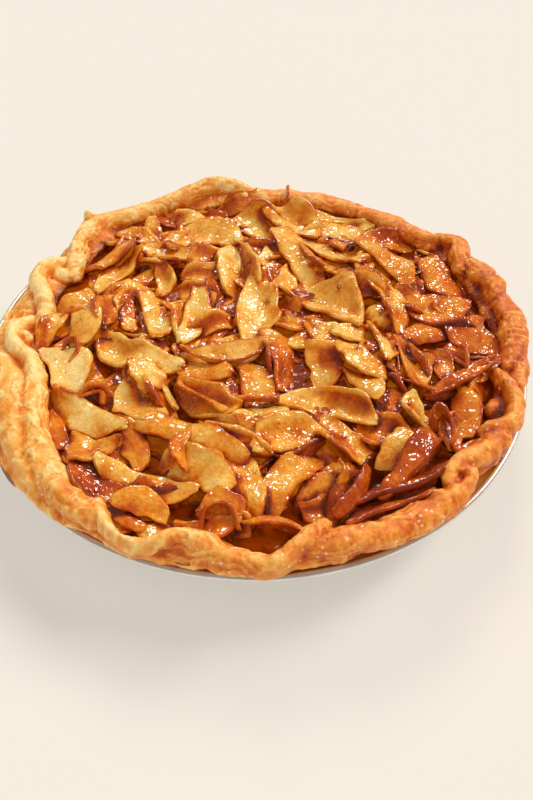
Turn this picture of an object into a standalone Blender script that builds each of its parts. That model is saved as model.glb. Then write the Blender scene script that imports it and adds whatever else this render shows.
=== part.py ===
"""An open-faced apple pie in its foil pan: the pan, the pastry case and the apple filling.

Units are metres, +Z is up, and the origin is at the centre of the pan's underside. Lengths are
written in millimetres and multiplied by MM where a mesh is made. Angles run anticlockwise seen
from above, from +X, and -Y is the front.
"""

import math

import bpy
import numpy as np

MM = 0.001
GAP = 0.3  # clear space between pieces that touch
SEGMENTS = 56  # facets round the pan, the case and the filling

# The pan: a nine inch foil pan with a flat flange and a rolled bead.
PAN_RIM_R = 122.2
PAN_DEPTH = 30.0
PAN_WALL = 0.6
PAN_BOTTOM_R = 90.0
PAN_TOP_R = 111.0
BEAD_R = 1.4
FLANGE_Z = 28.4  # top of the flange

# The pastry case, which lines the pan and lies over its flange.
CASE_FLOOR = 3.2
CASE_WALL = 3.6
CASE_LIP_Z = 32.2
BANK_BELOW_FOLDS = 3.0  # the bank lies this far below the crest of the folds
ROLL_SIDES = 7
ROLL_STEP = 8.0  # distance between rings along a roll

# The rim's bank of pastry: angle in degrees, radius of its inner face, radius and height of its
# crest, and radius of its outer edge. It falls from the crest to the outer edge, which lies on the
# pan's bead.
RIM_BANK = (
    (0, 107, 115, 42.5, 123.5), (8, 107, 116, 43, 124), (16, 107, 116, 43, 124),
    (22, 107, 116, 43, 123.5), (27, 106, 114, 41, 121), (32, 106, 116, 43.5, 123),
    (40, 106, 114, 40, 119.5), (50, 105, 113, 39.5, 118.5), (65, 105, 113, 39.5, 118.5),
    (80, 105, 113, 39.5, 118.5), (92, 105, 113, 39.5, 118.5), (100, 106, 114, 44, 120),
    (108, 105, 113, 43, 119), (120, 104, 112, 41, 118.5), (132, 104, 113, 41.5, 119.5),
    (140, 103, 112, 42.5, 119.5), (148, 98, 107, 42, 118), (154, 96, 105, 39, 116),
    (160, 98, 109, 42, 117.5), (167, 96, 104, 41.5, 117.5), (175, 93, 101, 41, 118),
    (184, 97, 104, 42, 119.5), (191, 95, 101, 41.5, 120.5), (199, 92.5, 99, 41, 121.5),
    (208, 97, 104, 41.5, 122.5), (217, 102, 109, 41.5, 123.5), (226, 105.5, 113, 41.5, 124),
    (235, 109, 115, 41.5, 123.5), (241, 110.5, 116, 40, 121), (248, 115, 119, 39.5, 123),
    (254, 111.5, 116, 40.5, 121.5), (261, 109.5, 115, 41, 121.5), (268, 113.5, 118, 39.5, 122.5),
    (274, 115.5, 120, 38.5, 123.5), (280, 109.5, 115, 41, 120.5), (287, 109, 114, 41, 120.5),
    (296, 110, 116, 41, 122), (305, 111, 116, 41, 122), (312, 110.5, 116.5, 41, 121),
    (317, 106.5, 111, 41, 118), (324, 108.5, 114, 41, 119.5), (332, 111, 116, 41.5, 120.5),
    (340, 107.5, 113, 42, 119.5), (347, 106, 112, 42, 119), (353, 107, 114, 42, 121.5),
)

# The folds along the crest, which are rolls of pastry. A roll's points give angle, radius and
# height of its middle, then half its width and half its height.
RIM_ROLLS = {
    "right_front": (
        (349, 112.5, 36.0, 4.0, 4.5), (354, 115, 37.0, 6.0, 5.5), (0, 116.5, 38.0, 6.5, 6.0),
        (5, 117, 38.5, 7.0, 6.3), (10.5, 117, 38.0, 5.5, 5.8),
    ),
    "right_back": (
        (12, 115.5, 38.0, 5.5, 6.0), (16, 117, 38.5, 6.5, 6.3), (21, 117, 38.5, 6.5, 6.3),
        (25.5, 115.5, 37.5, 5.0, 5.5),
    ),
    "pleat": (
        (25.5, 109.5, 38.0, 4.0, 5.0), (28.5, 114, 39.0, 5.0, 6.0), (31.5, 118, 40.0, 5.0, 6.0),
        (34.5, 117, 39.0, 5.0, 6.0), (37.5, 113.5, 37.5, 4.5, 5.5),
    ),
    "back": (
        (37, 112, 36.0, 5.0, 5.5), (44, 112, 36.0, 6.0, 5.7), (56, 111.5, 36.0, 6.0, 5.5),
        (68, 111.5, 36.0, 6.0, 5.7), (80, 111.5, 36.0, 6.0, 5.5), (92, 112, 36.5, 5.5, 5.5),
        (97, 113.5, 40.5, 4.5, 7.0), (103, 114.5, 41.5, 4.5, 7.5), (111, 112, 39.5, 5.0, 6.5),
        (118, 112, 38.0, 5.0, 6.0),
    ),
    "back_left": (
        (117, 111.5, 37.5, 4.5, 5.5), (124, 112, 37.5, 5.5, 6.0), (131, 113.5, 38.0, 5.5, 6.0),
        (136.5, 115.5, 38.5, 5.5, 6.5), (140.5, 113, 38.7, 5.3, 6.5), (144, 109.5, 38.7, 5.0, 6.3),
        (148, 105, 38.3, 4.8, 6.3), (151.5, 101, 37.5, 4.5, 6.0), (155, 97.5, 36.0, 4.0, 5.0),
    ),
    "left_upper": (
        (152, 105, 37.0, 3.5, 4.5), (154.5, 109.5, 38.0, 4.2, 5.5), (157.5, 111.5, 38.5, 4.3, 6.0),
        (161, 110.5, 38.8, 4.3, 6.0), (164.3, 106.3, 38.8, 4.2, 6.0), (167.5, 101.5, 38.5, 4.2, 6.0),
        (171, 98, 38.2, 4.2, 5.8), (175, 96.5, 37.5, 4.0, 5.5), (180, 97, 36.5, 3.3, 4.5),
    ),
    "left_lower": (
        (177, 103.5, 37.5, 3.5, 4.5), (179.8, 106.8, 38.3, 4.0, 5.8), (183.2, 107.8, 38.8, 4.2, 6.0),
        (186.5, 106, 38.8, 4.2, 6.0), (189.5, 102.2, 38.6, 4.2, 6.0), (193, 98.5, 38.3, 4.3, 6.0),
        (197.5, 97, 38.0, 4.5, 6.0), (203, 99.5, 37.5, 5.0, 6.2), (210, 103.5, 37.5, 6.0, 6.3),
        (218, 108.5, 37.5, 6.5, 6.3), (227, 113.5, 37.3, 6.5, 6.3), (235, 116.2, 37.0, 6.0, 6.3),
        (240.5, 115.5, 36.5, 5.0, 5.5),
    ),
    "front_loop": (
        (241, 113.8, 36.5, 3.5, 5.0), (243.5, 117, 37.0, 3.5, 5.3), (246.8, 119.8, 36.8, 3.6, 5.3),
        (250.5, 119.8, 36.7, 3.6, 5.3), (253.5, 117, 37.0, 3.6, 5.5), (256.3, 114, 37.0, 4.3, 5.7),
        (261.5, 114.3, 36.5, 5.5, 5.8), (267, 117.2, 35.0, 4.8, 5.3), (272.8, 120.2, 34.5, 4.0, 5.0),
    ),
    "front_ridge": (
        (272.5, 121.5, 34.5, 3.5, 4.5), (276, 118.5, 36.5, 3.8, 5.3), (279, 114.5, 37.5, 3.8, 5.5),
        (281.5, 111, 37.8, 3.5, 5.3), (284.3, 108, 37.0, 2.8, 4.0),
    ),
    "front_right": (
        (281.5, 115.5, 35.0, 4.0, 4.5), (287, 115.3, 36.0, 5.5, 5.7), (295, 117, 36.0, 6.3, 6.0),
        (303, 117, 36.0, 6.3, 6.0), (309.5, 118, 36.0, 5.3, 5.8), (313.8, 118.5, 37.0, 3.3, 5.5),
        (316.3, 116, 37.8, 2.8, 4.8), (315.3, 112.8, 37.8, 2.8, 4.5),
    ),
    "curl": (
        (311.8, 113, 37.0, 3.0, 4.5), (314.5, 110.3, 37.5, 4.0, 5.3), (318.5, 110.8, 37.3, 4.8, 5.7),
        (323, 113.8, 36.8, 5.3, 5.7), (328.5, 115.8, 36.5, 5.0, 5.5),
    ),
    "right_flap": (
        (328.5, 110.5, 36.5, 3.5, 4.5), (330.5, 115.5, 38.0, 4.0, 5.5), (334, 118, 38.3, 4.3, 5.7),
        (338, 116.8, 38.0, 4.3, 5.5), (341.8, 112.8, 38.3, 4.0, 5.5), (344.8, 108.5, 38.3, 3.5, 4.8),
        (347, 105, 37.5, 2.5, 3.5),
    ),
    "right_end": (
        (343.5, 116, 36.5, 3.5, 4.5), (347, 116.5, 37.0, 4.0, 5.0), (351, 117.5, 36.5, 4.0, 5.0),
    ),
}

# Flaps and lumps on the rim: angle, radius and height of the middle, then half the length round
# the rim, half the depth along the radius and half the height. The third is a burnt drip.
RIM_FLAPS = (
    (102.5, 115, 44.0, 11, 3.5, 5.5), (137, 118, 43.0, 2.5, 2.0, 5.0), (219, 123, 31.0, 6, 3.0, 2.5),
    (183, 102.3, 38.0, 3.5, 3.5, 5.0), (156.5, 102.5, 36.5, 4.0, 6.0, 5.0), (337, 109, 36.0, 5.0, 4.5, 4.5),
)

# The filling, a heap of apple slices set in syrup.
SYRUP_MID_Z = 35.2
SYRUP_EDGE_Z = 33.2
HEAP_R = 112.0
SLICE_THICK = 4.2
SLICE_SINK = 1.5  # how far a slice settles into what it lies on
SLICE_STEPS = (6, 2)  # divisions along and across a slice
BLUNT_END = 0.3  # width of a slice's end, as a share of its full width
DRAPE = 0.45  # how far a soft slice follows what lies under it
MAP_HALF = 118  # half the side of the height map that slices are stacked on, with 1 mm cells

# The larger slices in the order they lie, the lowest first: x and y of the middle, heading in
# degrees, length, width to the left and right of the heading, tilt (left side up) and pitch
# (head up) in degrees.
APPLE_SLICES = (
    (-41, -96, -15, 22, 5, 5, 5, 0),
    (-16, -104, 5, 24, 4, 5, 8, 0), (-70, -26, -62, 32, 6, 6, -5, 0), (-79, 4, -80, 30, 9, 7, 0, 0),
    (-92, 0, 65, 26, 4, 4, 10, 0), (-54, 86, 0, 22, 6, 5, 0, 0),
    (-24, 104, 12, 32, 7, 6, 22, 0), (-4, 103, 8, 36, 7, 6, 24, 0), (58, 91, -28, 26, 6, 6, 10, 0),
    (90, 40, -60, 32, 8, 8, 0, 0), (103, 36, -65, 30, 5, 5, 14, 0), (101, 3, -80, 32, 10, 10, 8, 0),
    (58, -43, 50, 25, 8, 7, 0, 0), (52, -55, -30, 26, 8, 8, 0, 0),
    (92, -62, 35, 26, 5, 6, 8, 0), (28, -93, 30, 20, 6, 6, 5, 0), (-8, -58, -20, 30, 5, 5, 10, 0),
    (-22, -26, -20, 28, 8, 7, 0, 0),
    (-29, 9, -100, 34, 6, 6, -6, 0), (-47, 56, -15, 28, 7, 6, 0, 0), (-24, 44, 15, 26, 6, 7, 0, 0),
    (36, 57, -45, 42, 10, 4, -10, 0), (-46, 41, -80, 26, 5, 5, 6, 0),
    (-66, 15, -103, 32, 5, 5, 8, 0), (-59, 17, -80, 29, 4, 5, -10, 0), (9, -17, -75, 36, 13, 5, -8, 0),
    (29, -20, -80, 27, 8, 8, 6, 0), (62, 18, -70, 36, 7, 6, -8, 0), (51, 27, -20, 24, 7, 6, 8, 0),
    (40, 92, -12, 47, 7, 7, 12, 0), (40, 75, -5, 42, 8, 8, 10, 0), (0, 84, -12, 33, 11, 10, 6, 0),
    (18, 84, -32, 33, 10, 8, 4, -4), (-25, 76, -15, 38, 10, 10, 4, 0), (-43, 67, -68, 20, 7, 7, 0, 0),
    (-68, 44, 55, 33, 6, 6, -8, 0), (-73, 57, 40, 31, 6, 7, -10, 0), (-12, 48, -88, 39, 6, 7, -8, 0),
    (68, 70, 22, 43, 9, 8, 10, 0), (21, 56, -65, 47, 10, 9, -6, -5), (82, 21, -8, 37, 9, 10, 6, 0),
    (-46, 13, -75, 37, 8, 8, -8, 0), (-1, 18, -92, 53, 11, 8, -7, 0), (-13, -12, 10, 39, 4, 9, 8, 0),
    (32, 18, -42, 48, 12, 8, -8, 0), (-52, -15, -28, 45, 8, 8, 8, 0), (-83, -25, -65, 36, 9, 9, -8, 0),
    (-70, -49, -35, 46, 6, 6, 10, 0), (-47, -44, -65, 34, 9, 9, -6, 0),
    (-64, -67, -15, 23, 8, 8, 10, 0), (-20, -42, -35, 32, 7, 7, 10, 0), (0, -33, -85, 26, 9, 9, 0, -8),
    (-27, -66, -22, 54, 6, 5, 8, 0), (46, -21, -55, 32, 6, 6, -10, 0), (68, -19, -75, 31, 7, 7, -8, 0),
    (36, -60, -50, 30, 8, 8, 0, 0), (15, -63, 20, 34, 9, 8, 6, 0), (30, -44, -12, 43, 8, 7, 6, 0),
    (-22, -81, -30, 34, 8, 7, 8, 0), (-41, -84, -22, 43, 7, 8, 10, 0), (15, -83, 50, 35, 7, 7, -8, 0),
    (57, -67, 60, 22, 7, 7, 0, 0), (61, -84, 30, 34, 4, 4, 10, 8), (66, -72, 62, 25, 5, 5, 0, 14),
    (90, -27, 34, 43, 4, 5, 14, 0), (87, -47, 85, 25, 6, 7, -14, 0), (36, -89, 62, 31, 4, 3, 0, 6),
    (-11, -97, 10, 18, 6, 6, 16, 0), (68, -48, -60, 20, 6, 6, -10, 0),
)

# Colour, roughness and metallic of each piece.
FINISHES = {
    "pan": ((0.80, 0.79, 0.77), 0.3, 1.0),
    "crust": ((0.80, 0.45, 0.16), 0.6, 0.0),
    "filling": ((0.52, 0.22, 0.05), 0.25, 0.0),
}


def material(name):
    """A Principled material with one piece's finish."""
    colour, roughness, metallic = FINISHES[name]
    made = bpy.data.materials.new(name)
    made.use_nodes = True
    shader = made.node_tree.nodes["Principled BSDF"]
    shader.inputs["Base Color"].default_value = (*colour, 1.0)
    shader.inputs["Roughness"].default_value = roughness
    shader.inputs["Metallic"].default_value = metallic
    return made


def mesh_object(name, shape, collection=None):
    """An object from (points in mm, faces)."""
    points, faces = shape
    mesh = bpy.data.meshes.new(name)
    mesh.from_pydata([tuple(float(c) * MM for c in p) for p in points], [], [list(f) for f in faces])
    mesh.validate()
    made = bpy.data.objects.new(name, mesh)
    (collection or bpy.context.scene.collection).objects.link(made)
    return made


def turned(profile, segments=SEGMENTS):
    """A solid of revolution. The profile runs anticlockwise in (radius, height); a radius of 0 is
    a pole."""
    rings, points = [], []
    for radius, height in profile:
        if radius == 0:
            rings.append([len(points)] * segments)
            points.append((0.0, 0.0, height))
            continue
        rings.append(list(range(len(points), len(points) + segments)))
        for i in range(segments):
            angle = 2 * math.pi * i / segments
            points.append((radius * math.cos(angle), radius * math.sin(angle), height))
    faces = []
    for low, high in zip(rings, rings[1:] + rings[:1]):
        if low[0] == low[1] and high[0] == high[1]:
            continue
        for i in range(segments):
            j = (i + 1) % segments
            corners = [low[i], low[j], high[j], high[i]]
            faces.append(tuple(dict.fromkeys(corners)))
    return points, faces


def arc(centre_r, centre_z, radius, start, end, steps):
    """Points of a circular arc in (radius, height), angles in degrees."""
    angles = np.radians(np.linspace(start, end, steps))
    return [(centre_r + radius * math.cos(a), centre_z + radius * math.sin(a)) for a in angles]


def pan_shape():
    """The foil pan: flat bottom, sloping wall, flange and rolled bead."""
    bead_mid = PAN_RIM_R - BEAD_R
    bead_z = PAN_DEPTH - BEAD_R
    outside = [(0, 0), (PAN_BOTTOM_R, 0), (PAN_TOP_R + PAN_WALL, FLANGE_Z - PAN_WALL)]
    bead = arc(bead_mid, bead_z, BEAD_R, 205, 515, 8)
    flange = [(bead_mid - BEAD_R - 0.2, FLANGE_Z), (PAN_TOP_R, FLANGE_Z)]
    inside = [(PAN_BOTTOM_R - PAN_WALL, PAN_WALL), (0, PAN_WALL)]
    return turned(outside + bead + flange + inside)


def pan_clearance():
    """Everything that the pan fills or holds up, GAP larger, for trimming the pastry."""
    bead_mid = PAN_RIM_R - BEAD_R
    bead_z = PAN_DEPTH - BEAD_R
    below = -5.0
    over_bead = arc(bead_mid, bead_z, BEAD_R + 1.5 * GAP, -30, 170, 6)
    inside = [
        (bead_mid - BEAD_R - 0.2 - 2 * GAP, FLANGE_Z + GAP),
        (PAN_TOP_R - GAP, FLANGE_Z + GAP),
        (PAN_BOTTOM_R - PAN_WALL - GAP, PAN_WALL + GAP),
        (0, PAN_WALL + GAP),
    ]
    return turned([(0, below), (over_bead[0][0], below)] + over_bead + inside)


def case_shape():
    """The pastry that lines the pan, as a cup whose outside runs into the pan and is trimmed."""
    inner_floor_r = PAN_BOTTOM_R - CASE_WALL - 1.5
    floor_z = PAN_WALL + GAP + CASE_FLOOR
    rim_z = CASE_LIP_Z
    spare = 2.0
    wall_slope = (PAN_TOP_R - PAN_BOTTOM_R) / FLANGE_Z
    return turned([
        (0, -spare),
        (PAN_BOTTOM_R + spare, -spare),
        (PAN_BOTTOM_R + spare + wall_slope * rim_z, rim_z),
        (inner_floor_r + wall_slope * rim_z, rim_z),
        (inner_floor_r, floor_z),
        (0, floor_z),
    ])


def case_clearance():
    """A ring over the case's wall, GAP larger, for trimming the filling."""
    wall_slope = (PAN_TOP_R - PAN_BOTTOM_R) / FLANGE_Z
    floor_z = PAN_WALL + GAP + CASE_FLOOR
    inner_r = PAN_BOTTOM_R - CASE_WALL - 1.5 - GAP
    rim_z = CASE_LIP_Z + GAP
    beyond = PAN_RIM_R + 10
    rim_r = inner_r + wall_slope * rim_z
    return turned([(inner_r, floor_z), (beyond, floor_z), (beyond, rim_z), (rim_r, rim_z)])


def round_the_rim(table, angle, column):
    """A smooth closed curve through one column of a table whose first column is an angle, read at
    an angle in degrees."""
    angles = np.array([row[0] for row in table], float)
    values = np.array([row[column] for row in table], float)
    angles = np.concatenate([angles[-2:] - 360, angles, angles[:2] + 360])
    values = np.concatenate([values[-2:], values, values[:2]])
    k = int(np.searchsorted(angles, angle % 360, side="right")) - 1
    k = min(max(k, 1), len(angles) - 3)
    t = (angle % 360 - angles[k]) / (angles[k + 1] - angles[k])
    before, start, end, after = values[k - 1 : k + 3]
    return 0.5 * (
        2 * start + (end - before) * t + (2 * before - 5 * start + 4 * end - after) * t**2
        + (3 * start - before - 3 * end + after) * t**3
    )


def bank_section(angle, grow):
    """The outline of the rim's bank at an angle in degrees, as (radius, height) anticlockwise."""
    inner = round_the_rim(RIM_BANK, angle, 1)
    crest_r = round_the_rim(RIM_BANK, angle, 2)
    crest_z = round_the_rim(RIM_BANK, angle, 3) - BANK_BELOW_FOLDS
    edge = round_the_rim(RIM_BANK, angle, 4)
    fall = edge - crest_r
    foot = FLANGE_Z - 1.0
    return (
        (inner - grow, foot), (edge - 2, foot), (edge + grow, 31.0 - grow), (edge + grow, 33.0),
        (crest_r + 0.75 * fall, crest_z - 2.0 + grow), (crest_r + 0.3 * fall, crest_z + grow),
        (0.6 * crest_r + 0.4 * inner, crest_z - 0.3 + grow), (inner - grow, crest_z - 3.5),
    )


def bank_shape(grow=0.0):
    """The bank of pastry on the flange."""
    points, faces = [], []
    for i in range(SEGMENTS):
        angle = 2 * math.pi * (i + 0.5) / SEGMENTS
        for radius, height in bank_section(math.degrees(angle), grow):
            points.append((radius * math.cos(angle), radius * math.sin(angle), height))
    sides = len(points) // SEGMENTS
    for i in range(SEGMENTS):
        j = (i + 1) % SEGMENTS
        for k in range(sides):
            m = (k + 1) % sides
            faces.append((i * sides + k, j * sides + k, j * sides + m, i * sides + m))
    return points, faces


def spline(rows, step):
    """Rows of numbers read every `step` mm along a Catmull-Rom curve whose first three numbers
    are a place."""
    rows = np.array(rows, float)
    padded = np.vstack([2 * rows[0] - rows[1], rows, 2 * rows[-1] - rows[-2]])
    out = []
    for k in range(1, len(padded) - 2):
        p0, p1, p2, p3 = padded[k - 1 : k + 3]
        count = max(1, round(np.linalg.norm((p2 - p1)[:3]) / step))
        for t in np.arange(count) / count:
            out.append(0.5 * (
                2 * p1 + (p2 - p0) * t + (2 * p0 - 5 * p1 + 4 * p2 - p3) * t**2
                + (3 * p1 - p0 - 3 * p2 + p3) * t**3
            ))
    out.append(rows[-1])
    return np.array(out)


def placed(rows):
    """Roll rows with angle and radius turned into x and y."""
    return [
        (r * math.cos(math.radians(a)), r * math.sin(math.radians(a)), *rest)
        for a, r, *rest in rows
    ]


def roll_shape(rows, grow=0.0):
    """A roll of pastry: an oval tube along a curve, rounded off at both ends."""
    path = spline(placed(rows), ROLL_STEP)
    places, half_w, half_h = path[:, :3], path[:, 3] + grow, path[:, 4] + grow
    along = np.gradient(places, axis=0)
    along /= np.linalg.norm(along, axis=1)[:, None]
    last = len(path) - 1
    rings = [(0, -0.85, 0.6)] + [(i, 0.0, 1.0) for i in range(last + 1)] + [(last, 0.85, 0.6)]
    points, faces = [], []
    for i, shift, share in rings:
        side = np.cross(along[i], (0, 0, 1))
        side /= np.linalg.norm(side)
        up = np.cross(side, along[i])
        middle = places[i] + along[i] * shift * half_w[i]
        for k in range(ROLL_SIDES):
            turn = 2 * math.pi * (k + 0.5) / ROLL_SIDES
            points.append(
                middle + share * (half_w[i] * math.cos(turn) * side + half_h[i] * math.sin(turn) * up)
            )
    for i in range(len(rings) - 1):
        for k in range(ROLL_SIDES):
            m = (k + 1) % ROLL_SIDES
            a, b = i * ROLL_SIDES, (i + 1) * ROLL_SIDES
            faces.append((a + k, b + k, b + m, a + m))
    end = (len(rings) - 1) * ROLL_SIDES
    faces.append(tuple(range(ROLL_SIDES)))
    faces.append(tuple(end + k for k in reversed(range(ROLL_SIDES))))
    return points, faces


def flap_shape(row, grow=0.0):
    """A lump of pastry on the rim: an ellipsoid whose long side runs round the rim."""
    angle, radius, height, half_round, half_deep, half_high = row
    turn = math.radians(angle)
    across, along = 10, 5
    points = [(0.0, 0.0, -1.0)]
    for i in range(1, along):
        tilt = math.pi * (i / along - 0.5)
        for k in range(across):
            bearing = 2 * math.pi * k / across
            points.append((
                math.cos(tilt) * math.cos(bearing), math.cos(tilt) * math.sin(bearing), math.sin(tilt)
            ))
    points.append((0.0, 0.0, 1.0))
    top = len(points) - 1
    faces = []
    for k in range(across):
        m = (k + 1) % across
        faces.append((0, 1 + m, 1 + k))
        for i in range(along - 2):
            a = 1 + i * across
            faces.append((a + k, a + m, a + across + m, a + across + k))
        a = 1 + (along - 2) * across
        faces.append((a + k, a + m, top))
    outward = np.array((math.cos(turn), math.sin(turn), 0.0))
    sideways = np.array((-math.sin(turn), math.cos(turn), 0.0))
    middle = outward * radius + np.array((0.0, 0.0, height))
    size = np.array((half_deep, half_round, half_high)) + grow
    return [middle + outward * p[0] * size[0] + sideways * p[1] * size[1] + np.array((0, 0, p[2] * size[2]))
            for p in points], faces


def rim_shapes(grow=0.0):
    """The bank, rolls and flaps of the rim."""
    rolls = [roll_shape(rows, grow) for rows in RIM_ROLLS.values()]
    return [bank_shape(grow)] + rolls + [flap_shape(row, grow) for row in RIM_FLAPS]


class Heap:
    """A height map that apple slices are laid on, one after another."""

    def __init__(self):
        side = np.arange(-MAP_HALF, MAP_HALF + 1, dtype=float)
        self.x, self.y = np.meshgrid(side, side, indexing="ij")
        self.z = syrup_z(np.hypot(self.x, self.y))

    def read(self, x, y, heights):
        """Heights at points, read between the cells."""
        gx = np.clip(np.asarray(x) + MAP_HALF, 0, 2 * MAP_HALF - 1.001)
        gy = np.clip(np.asarray(y) + MAP_HALF, 0, 2 * MAP_HALF - 1.001)
        i, j = gx.astype(int), gy.astype(int)
        u, v = gx - i, gy - j
        return (
            heights[i, j] * (1 - u) * (1 - v) + heights[i + 1, j] * u * (1 - v)
            + heights[i, j + 1] * (1 - u) * v + heights[i + 1, j + 1] * u * v
        )

    def smooth(self, reach=5, spread=3.0):
        """The height map blurred by a bell curve."""
        offsets = np.arange(-reach, reach + 1)
        weights = np.exp(-((offsets / spread) ** 2) / 2)
        weights /= weights.sum()
        out = self.z
        for axis in (0, 1):
            out = sum(w * np.roll(out, k, axis) for w, k in zip(weights, offsets))
        return out


def syrup_z(radius):
    """Height of the syrup at a distance from the middle."""
    share = np.clip(np.asarray(radius) / HEAP_R, 0, 1)
    return SYRUP_MID_Z + (SYRUP_EDGE_Z - SYRUP_MID_Z) * share**2


def half_width(u, left, right, v):
    """Distance from a slice's long axis to its edge, on v's side, at u from -1 to 1."""
    belly = BLUNT_END + (1 - BLUNT_END) * np.sqrt(np.clip(1 - u**2, 0, 1))
    return np.where(v >= 0, left, right) * belly


def lay_slice(heap, row):
    """One apple slice, laid on the heap, as (points, faces). The heap rises by it."""
    x, y, heading, length, left, right, tilt, pitch = row
    turn = math.radians(heading)
    ahead = np.array((math.cos(turn), math.sin(turn)))
    aside = np.array((-math.sin(turn), math.cos(turn)))
    blurred = heap.smooth()

    def plan(u, v):
        along, across = u * length / 2, v * half_width(u, left, right, v)
        return x + ahead[0] * along + aside[0] * across, y + ahead[1] * along + aside[1] * across

    grid_u, grid_v = np.meshgrid(np.linspace(-0.9, 0.9, 9), np.linspace(-0.9, 0.9, 5), indexing="ij")
    px, py = plan(grid_u, grid_v)
    under = heap.read(px, py, heap.z)
    fit = np.linalg.lstsq(
        np.stack([np.ones(under.size), px.ravel() - x, py.ravel() - y], 1), under.ravel(), rcond=None
    )[0]

    def top(qx, qy):
        plane = fit[0] + fit[1] * (qx - x) + fit[2] * (qy - y)
        soft = plane + DRAPE * (heap.read(qx, qy, blurred) - plane)
        along = (qx - x) * ahead[0] + (qy - y) * ahead[1]
        across = (qx - x) * aside[0] + (qy - y) * aside[1]
        return soft + across * math.tan(math.radians(tilt)) + along * math.tan(math.radians(pitch))

    lift = np.percentile(under - top(px, py), 60) + SLICE_THICK - SLICE_SINK
    steps_u, steps_v = SLICE_STEPS
    us = np.sin(np.linspace(-math.pi / 2, math.pi / 2, steps_u + 1))
    vs = np.linspace(-1, 1, steps_v + 1)
    gu, gv = np.meshgrid(us, vs, indexing="ij")
    sx, sy = plan(gu, gv)
    upper = top(sx, sy) + lift
    edge = (np.abs(gu) > 0.999) | (np.abs(gv) > 0.999)
    upper = np.where(edge, upper - 0.8, upper)
    points = [tuple(p) for p in np.stack([sx, sy, upper], -1).reshape(-1, 3)]
    points += [tuple(p) for p in np.stack([sx, sy, upper - SLICE_THICK], -1).reshape(-1, 3)]
    faces = slab_faces(steps_u, steps_v)

    mx, my = heap.x - x, heap.y - y
    mu = (mx * ahead[0] + my * ahead[1]) / (length / 2)
    across = mx * aside[0] + my * aside[1]
    inside = (np.abs(mu) < 1) & (np.abs(across) < half_width(np.clip(mu, -1, 1), left, right, across))
    raised = top(heap.x[inside], heap.y[inside]) + lift
    heap.z[inside] = np.maximum(heap.z[inside], raised)
    return points, faces


def slab_faces(steps_u, steps_v):
    """Faces of a slab whose upper grid of points comes before its lower one."""
    row = steps_v + 1
    below = (steps_u + 1) * row
    faces = []
    for i in range(steps_u):
        for j in range(steps_v):
            a, b, c, d = i * row + j, (i + 1) * row + j, (i + 1) * row + j + 1, i * row + j + 1
            faces += [(a, b, c), (a, c, d)]
            faces += [(below + a, below + c, below + b), (below + a, below + d, below + c)]
    rim = [i * row for i in range(steps_u)] + [steps_u * row + j for j in range(steps_v)]
    rim += [i * row + steps_v for i in range(steps_u, 0, -1)] + list(range(steps_v, 0, -1))
    for a, b in zip(rim, rim[1:] + rim[:1]):
        faces.append((a, below + a, below + b, b))
    return faces


def core_shape():
    """The body of the filling, up to the syrup. Its sides run into the case and are trimmed."""
    floor_z = PAN_WALL + CASE_FLOOR + 2 * GAP
    surface = [(r, float(syrup_z(r))) for r in (HEAP_R, 90, 60, 30)]
    return turned([(0, floor_z), (HEAP_R, floor_z)] + surface + [(0, SYRUP_MID_Z)])


def evaluated(made):
    """The object's mesh with its modifiers, replacing its own."""
    graph = bpy.context.evaluated_depsgraph_get()
    mesh = bpy.data.meshes.new_from_object(made.evaluated_get(graph))
    made.modifiers.clear()
    made.data = mesh


def combine(made, shapes, operation):
    """Joins shapes to an object, or cuts them from it, with one Boolean on a collection."""
    helpers = bpy.data.collections.new(made.name + "_helpers")
    bpy.context.scene.collection.children.link(helpers)
    for number, shape in enumerate(shapes):
        mesh_object(f"{made.name}_helper_{number}", shape, helpers)
    boolean = made.modifiers.new("combine", "BOOLEAN")
    boolean.operation = operation
    boolean.operand_type = "COLLECTION"
    boolean.collection = helpers
    boolean.solver = "MANIFOLD"
    evaluated(made)
    for helper in list(helpers.objects):
        bpy.data.objects.remove(helper)
    bpy.data.collections.remove(helpers)


def keep_largest_body(made):
    """Drops loose scraps and fills sealed hollows: only the largest shell stays."""
    mesh = made.data
    mesh.calc_loop_triangles()
    points = np.array([v.co for v in mesh.vertices])
    parent = list(range(len(points)))

    def root(i):
        while parent[i] != i:
            parent[i] = parent[parent[i]]
            i = parent[i]
        return i

    for edge in mesh.edges:
        a, b = root(edge.vertices[0]), root(edge.vertices[1])
        parent[a] = b
    volume = {}
    for triangle in mesh.loop_triangles:
        a, b, c = (points[i] for i in triangle.vertices)
        key = root(triangle.vertices[0])
        volume[key] = volume.get(key, 0.0) + float(np.dot(a, np.cross(b, c)))
    largest = max(volume, key=volume.get)
    kept = [i for i in range(len(points)) if root(i) == largest]
    number = {old: new for new, old in enumerate(kept)}
    faces = [[number[i] for i in p.vertices] for p in mesh.polygons if p.vertices[0] in number]
    clean = bpy.data.meshes.new(made.name)
    clean.from_pydata([tuple(points[i]) for i in kept], [], faces)
    made.data = clean


def clear_scene():
    for old in list(bpy.data.objects):
        bpy.data.objects.remove(old)


def build_pan():
    return mesh_object("pan", pan_shape())


def build_crust():
    made = mesh_object("crust", case_shape())
    combine(made, rim_shapes(), "UNION")
    combine(made, [pan_clearance()], "DIFFERENCE")
    keep_largest_body(made)
    return made


def build_filling():
    made = mesh_object("filling", core_shape())
    heap = Heap()
    combine(made, [lay_slice(heap, row) for row in APPLE_SLICES], "UNION")
    combine(made, rim_shapes(grow=GAP) + [case_clearance()], "DIFFERENCE")
    keep_largest_body(made)
    return made


def main():
    clear_scene()
    for made in (build_pan(), build_crust(), build_filling()):
        made.data.materials.clear()
        made.data.materials.append(material(made.name))
        made.data.shade_smooth()
        made.data.set_sharp_from_angle(angle=math.radians(35))


main()
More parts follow.
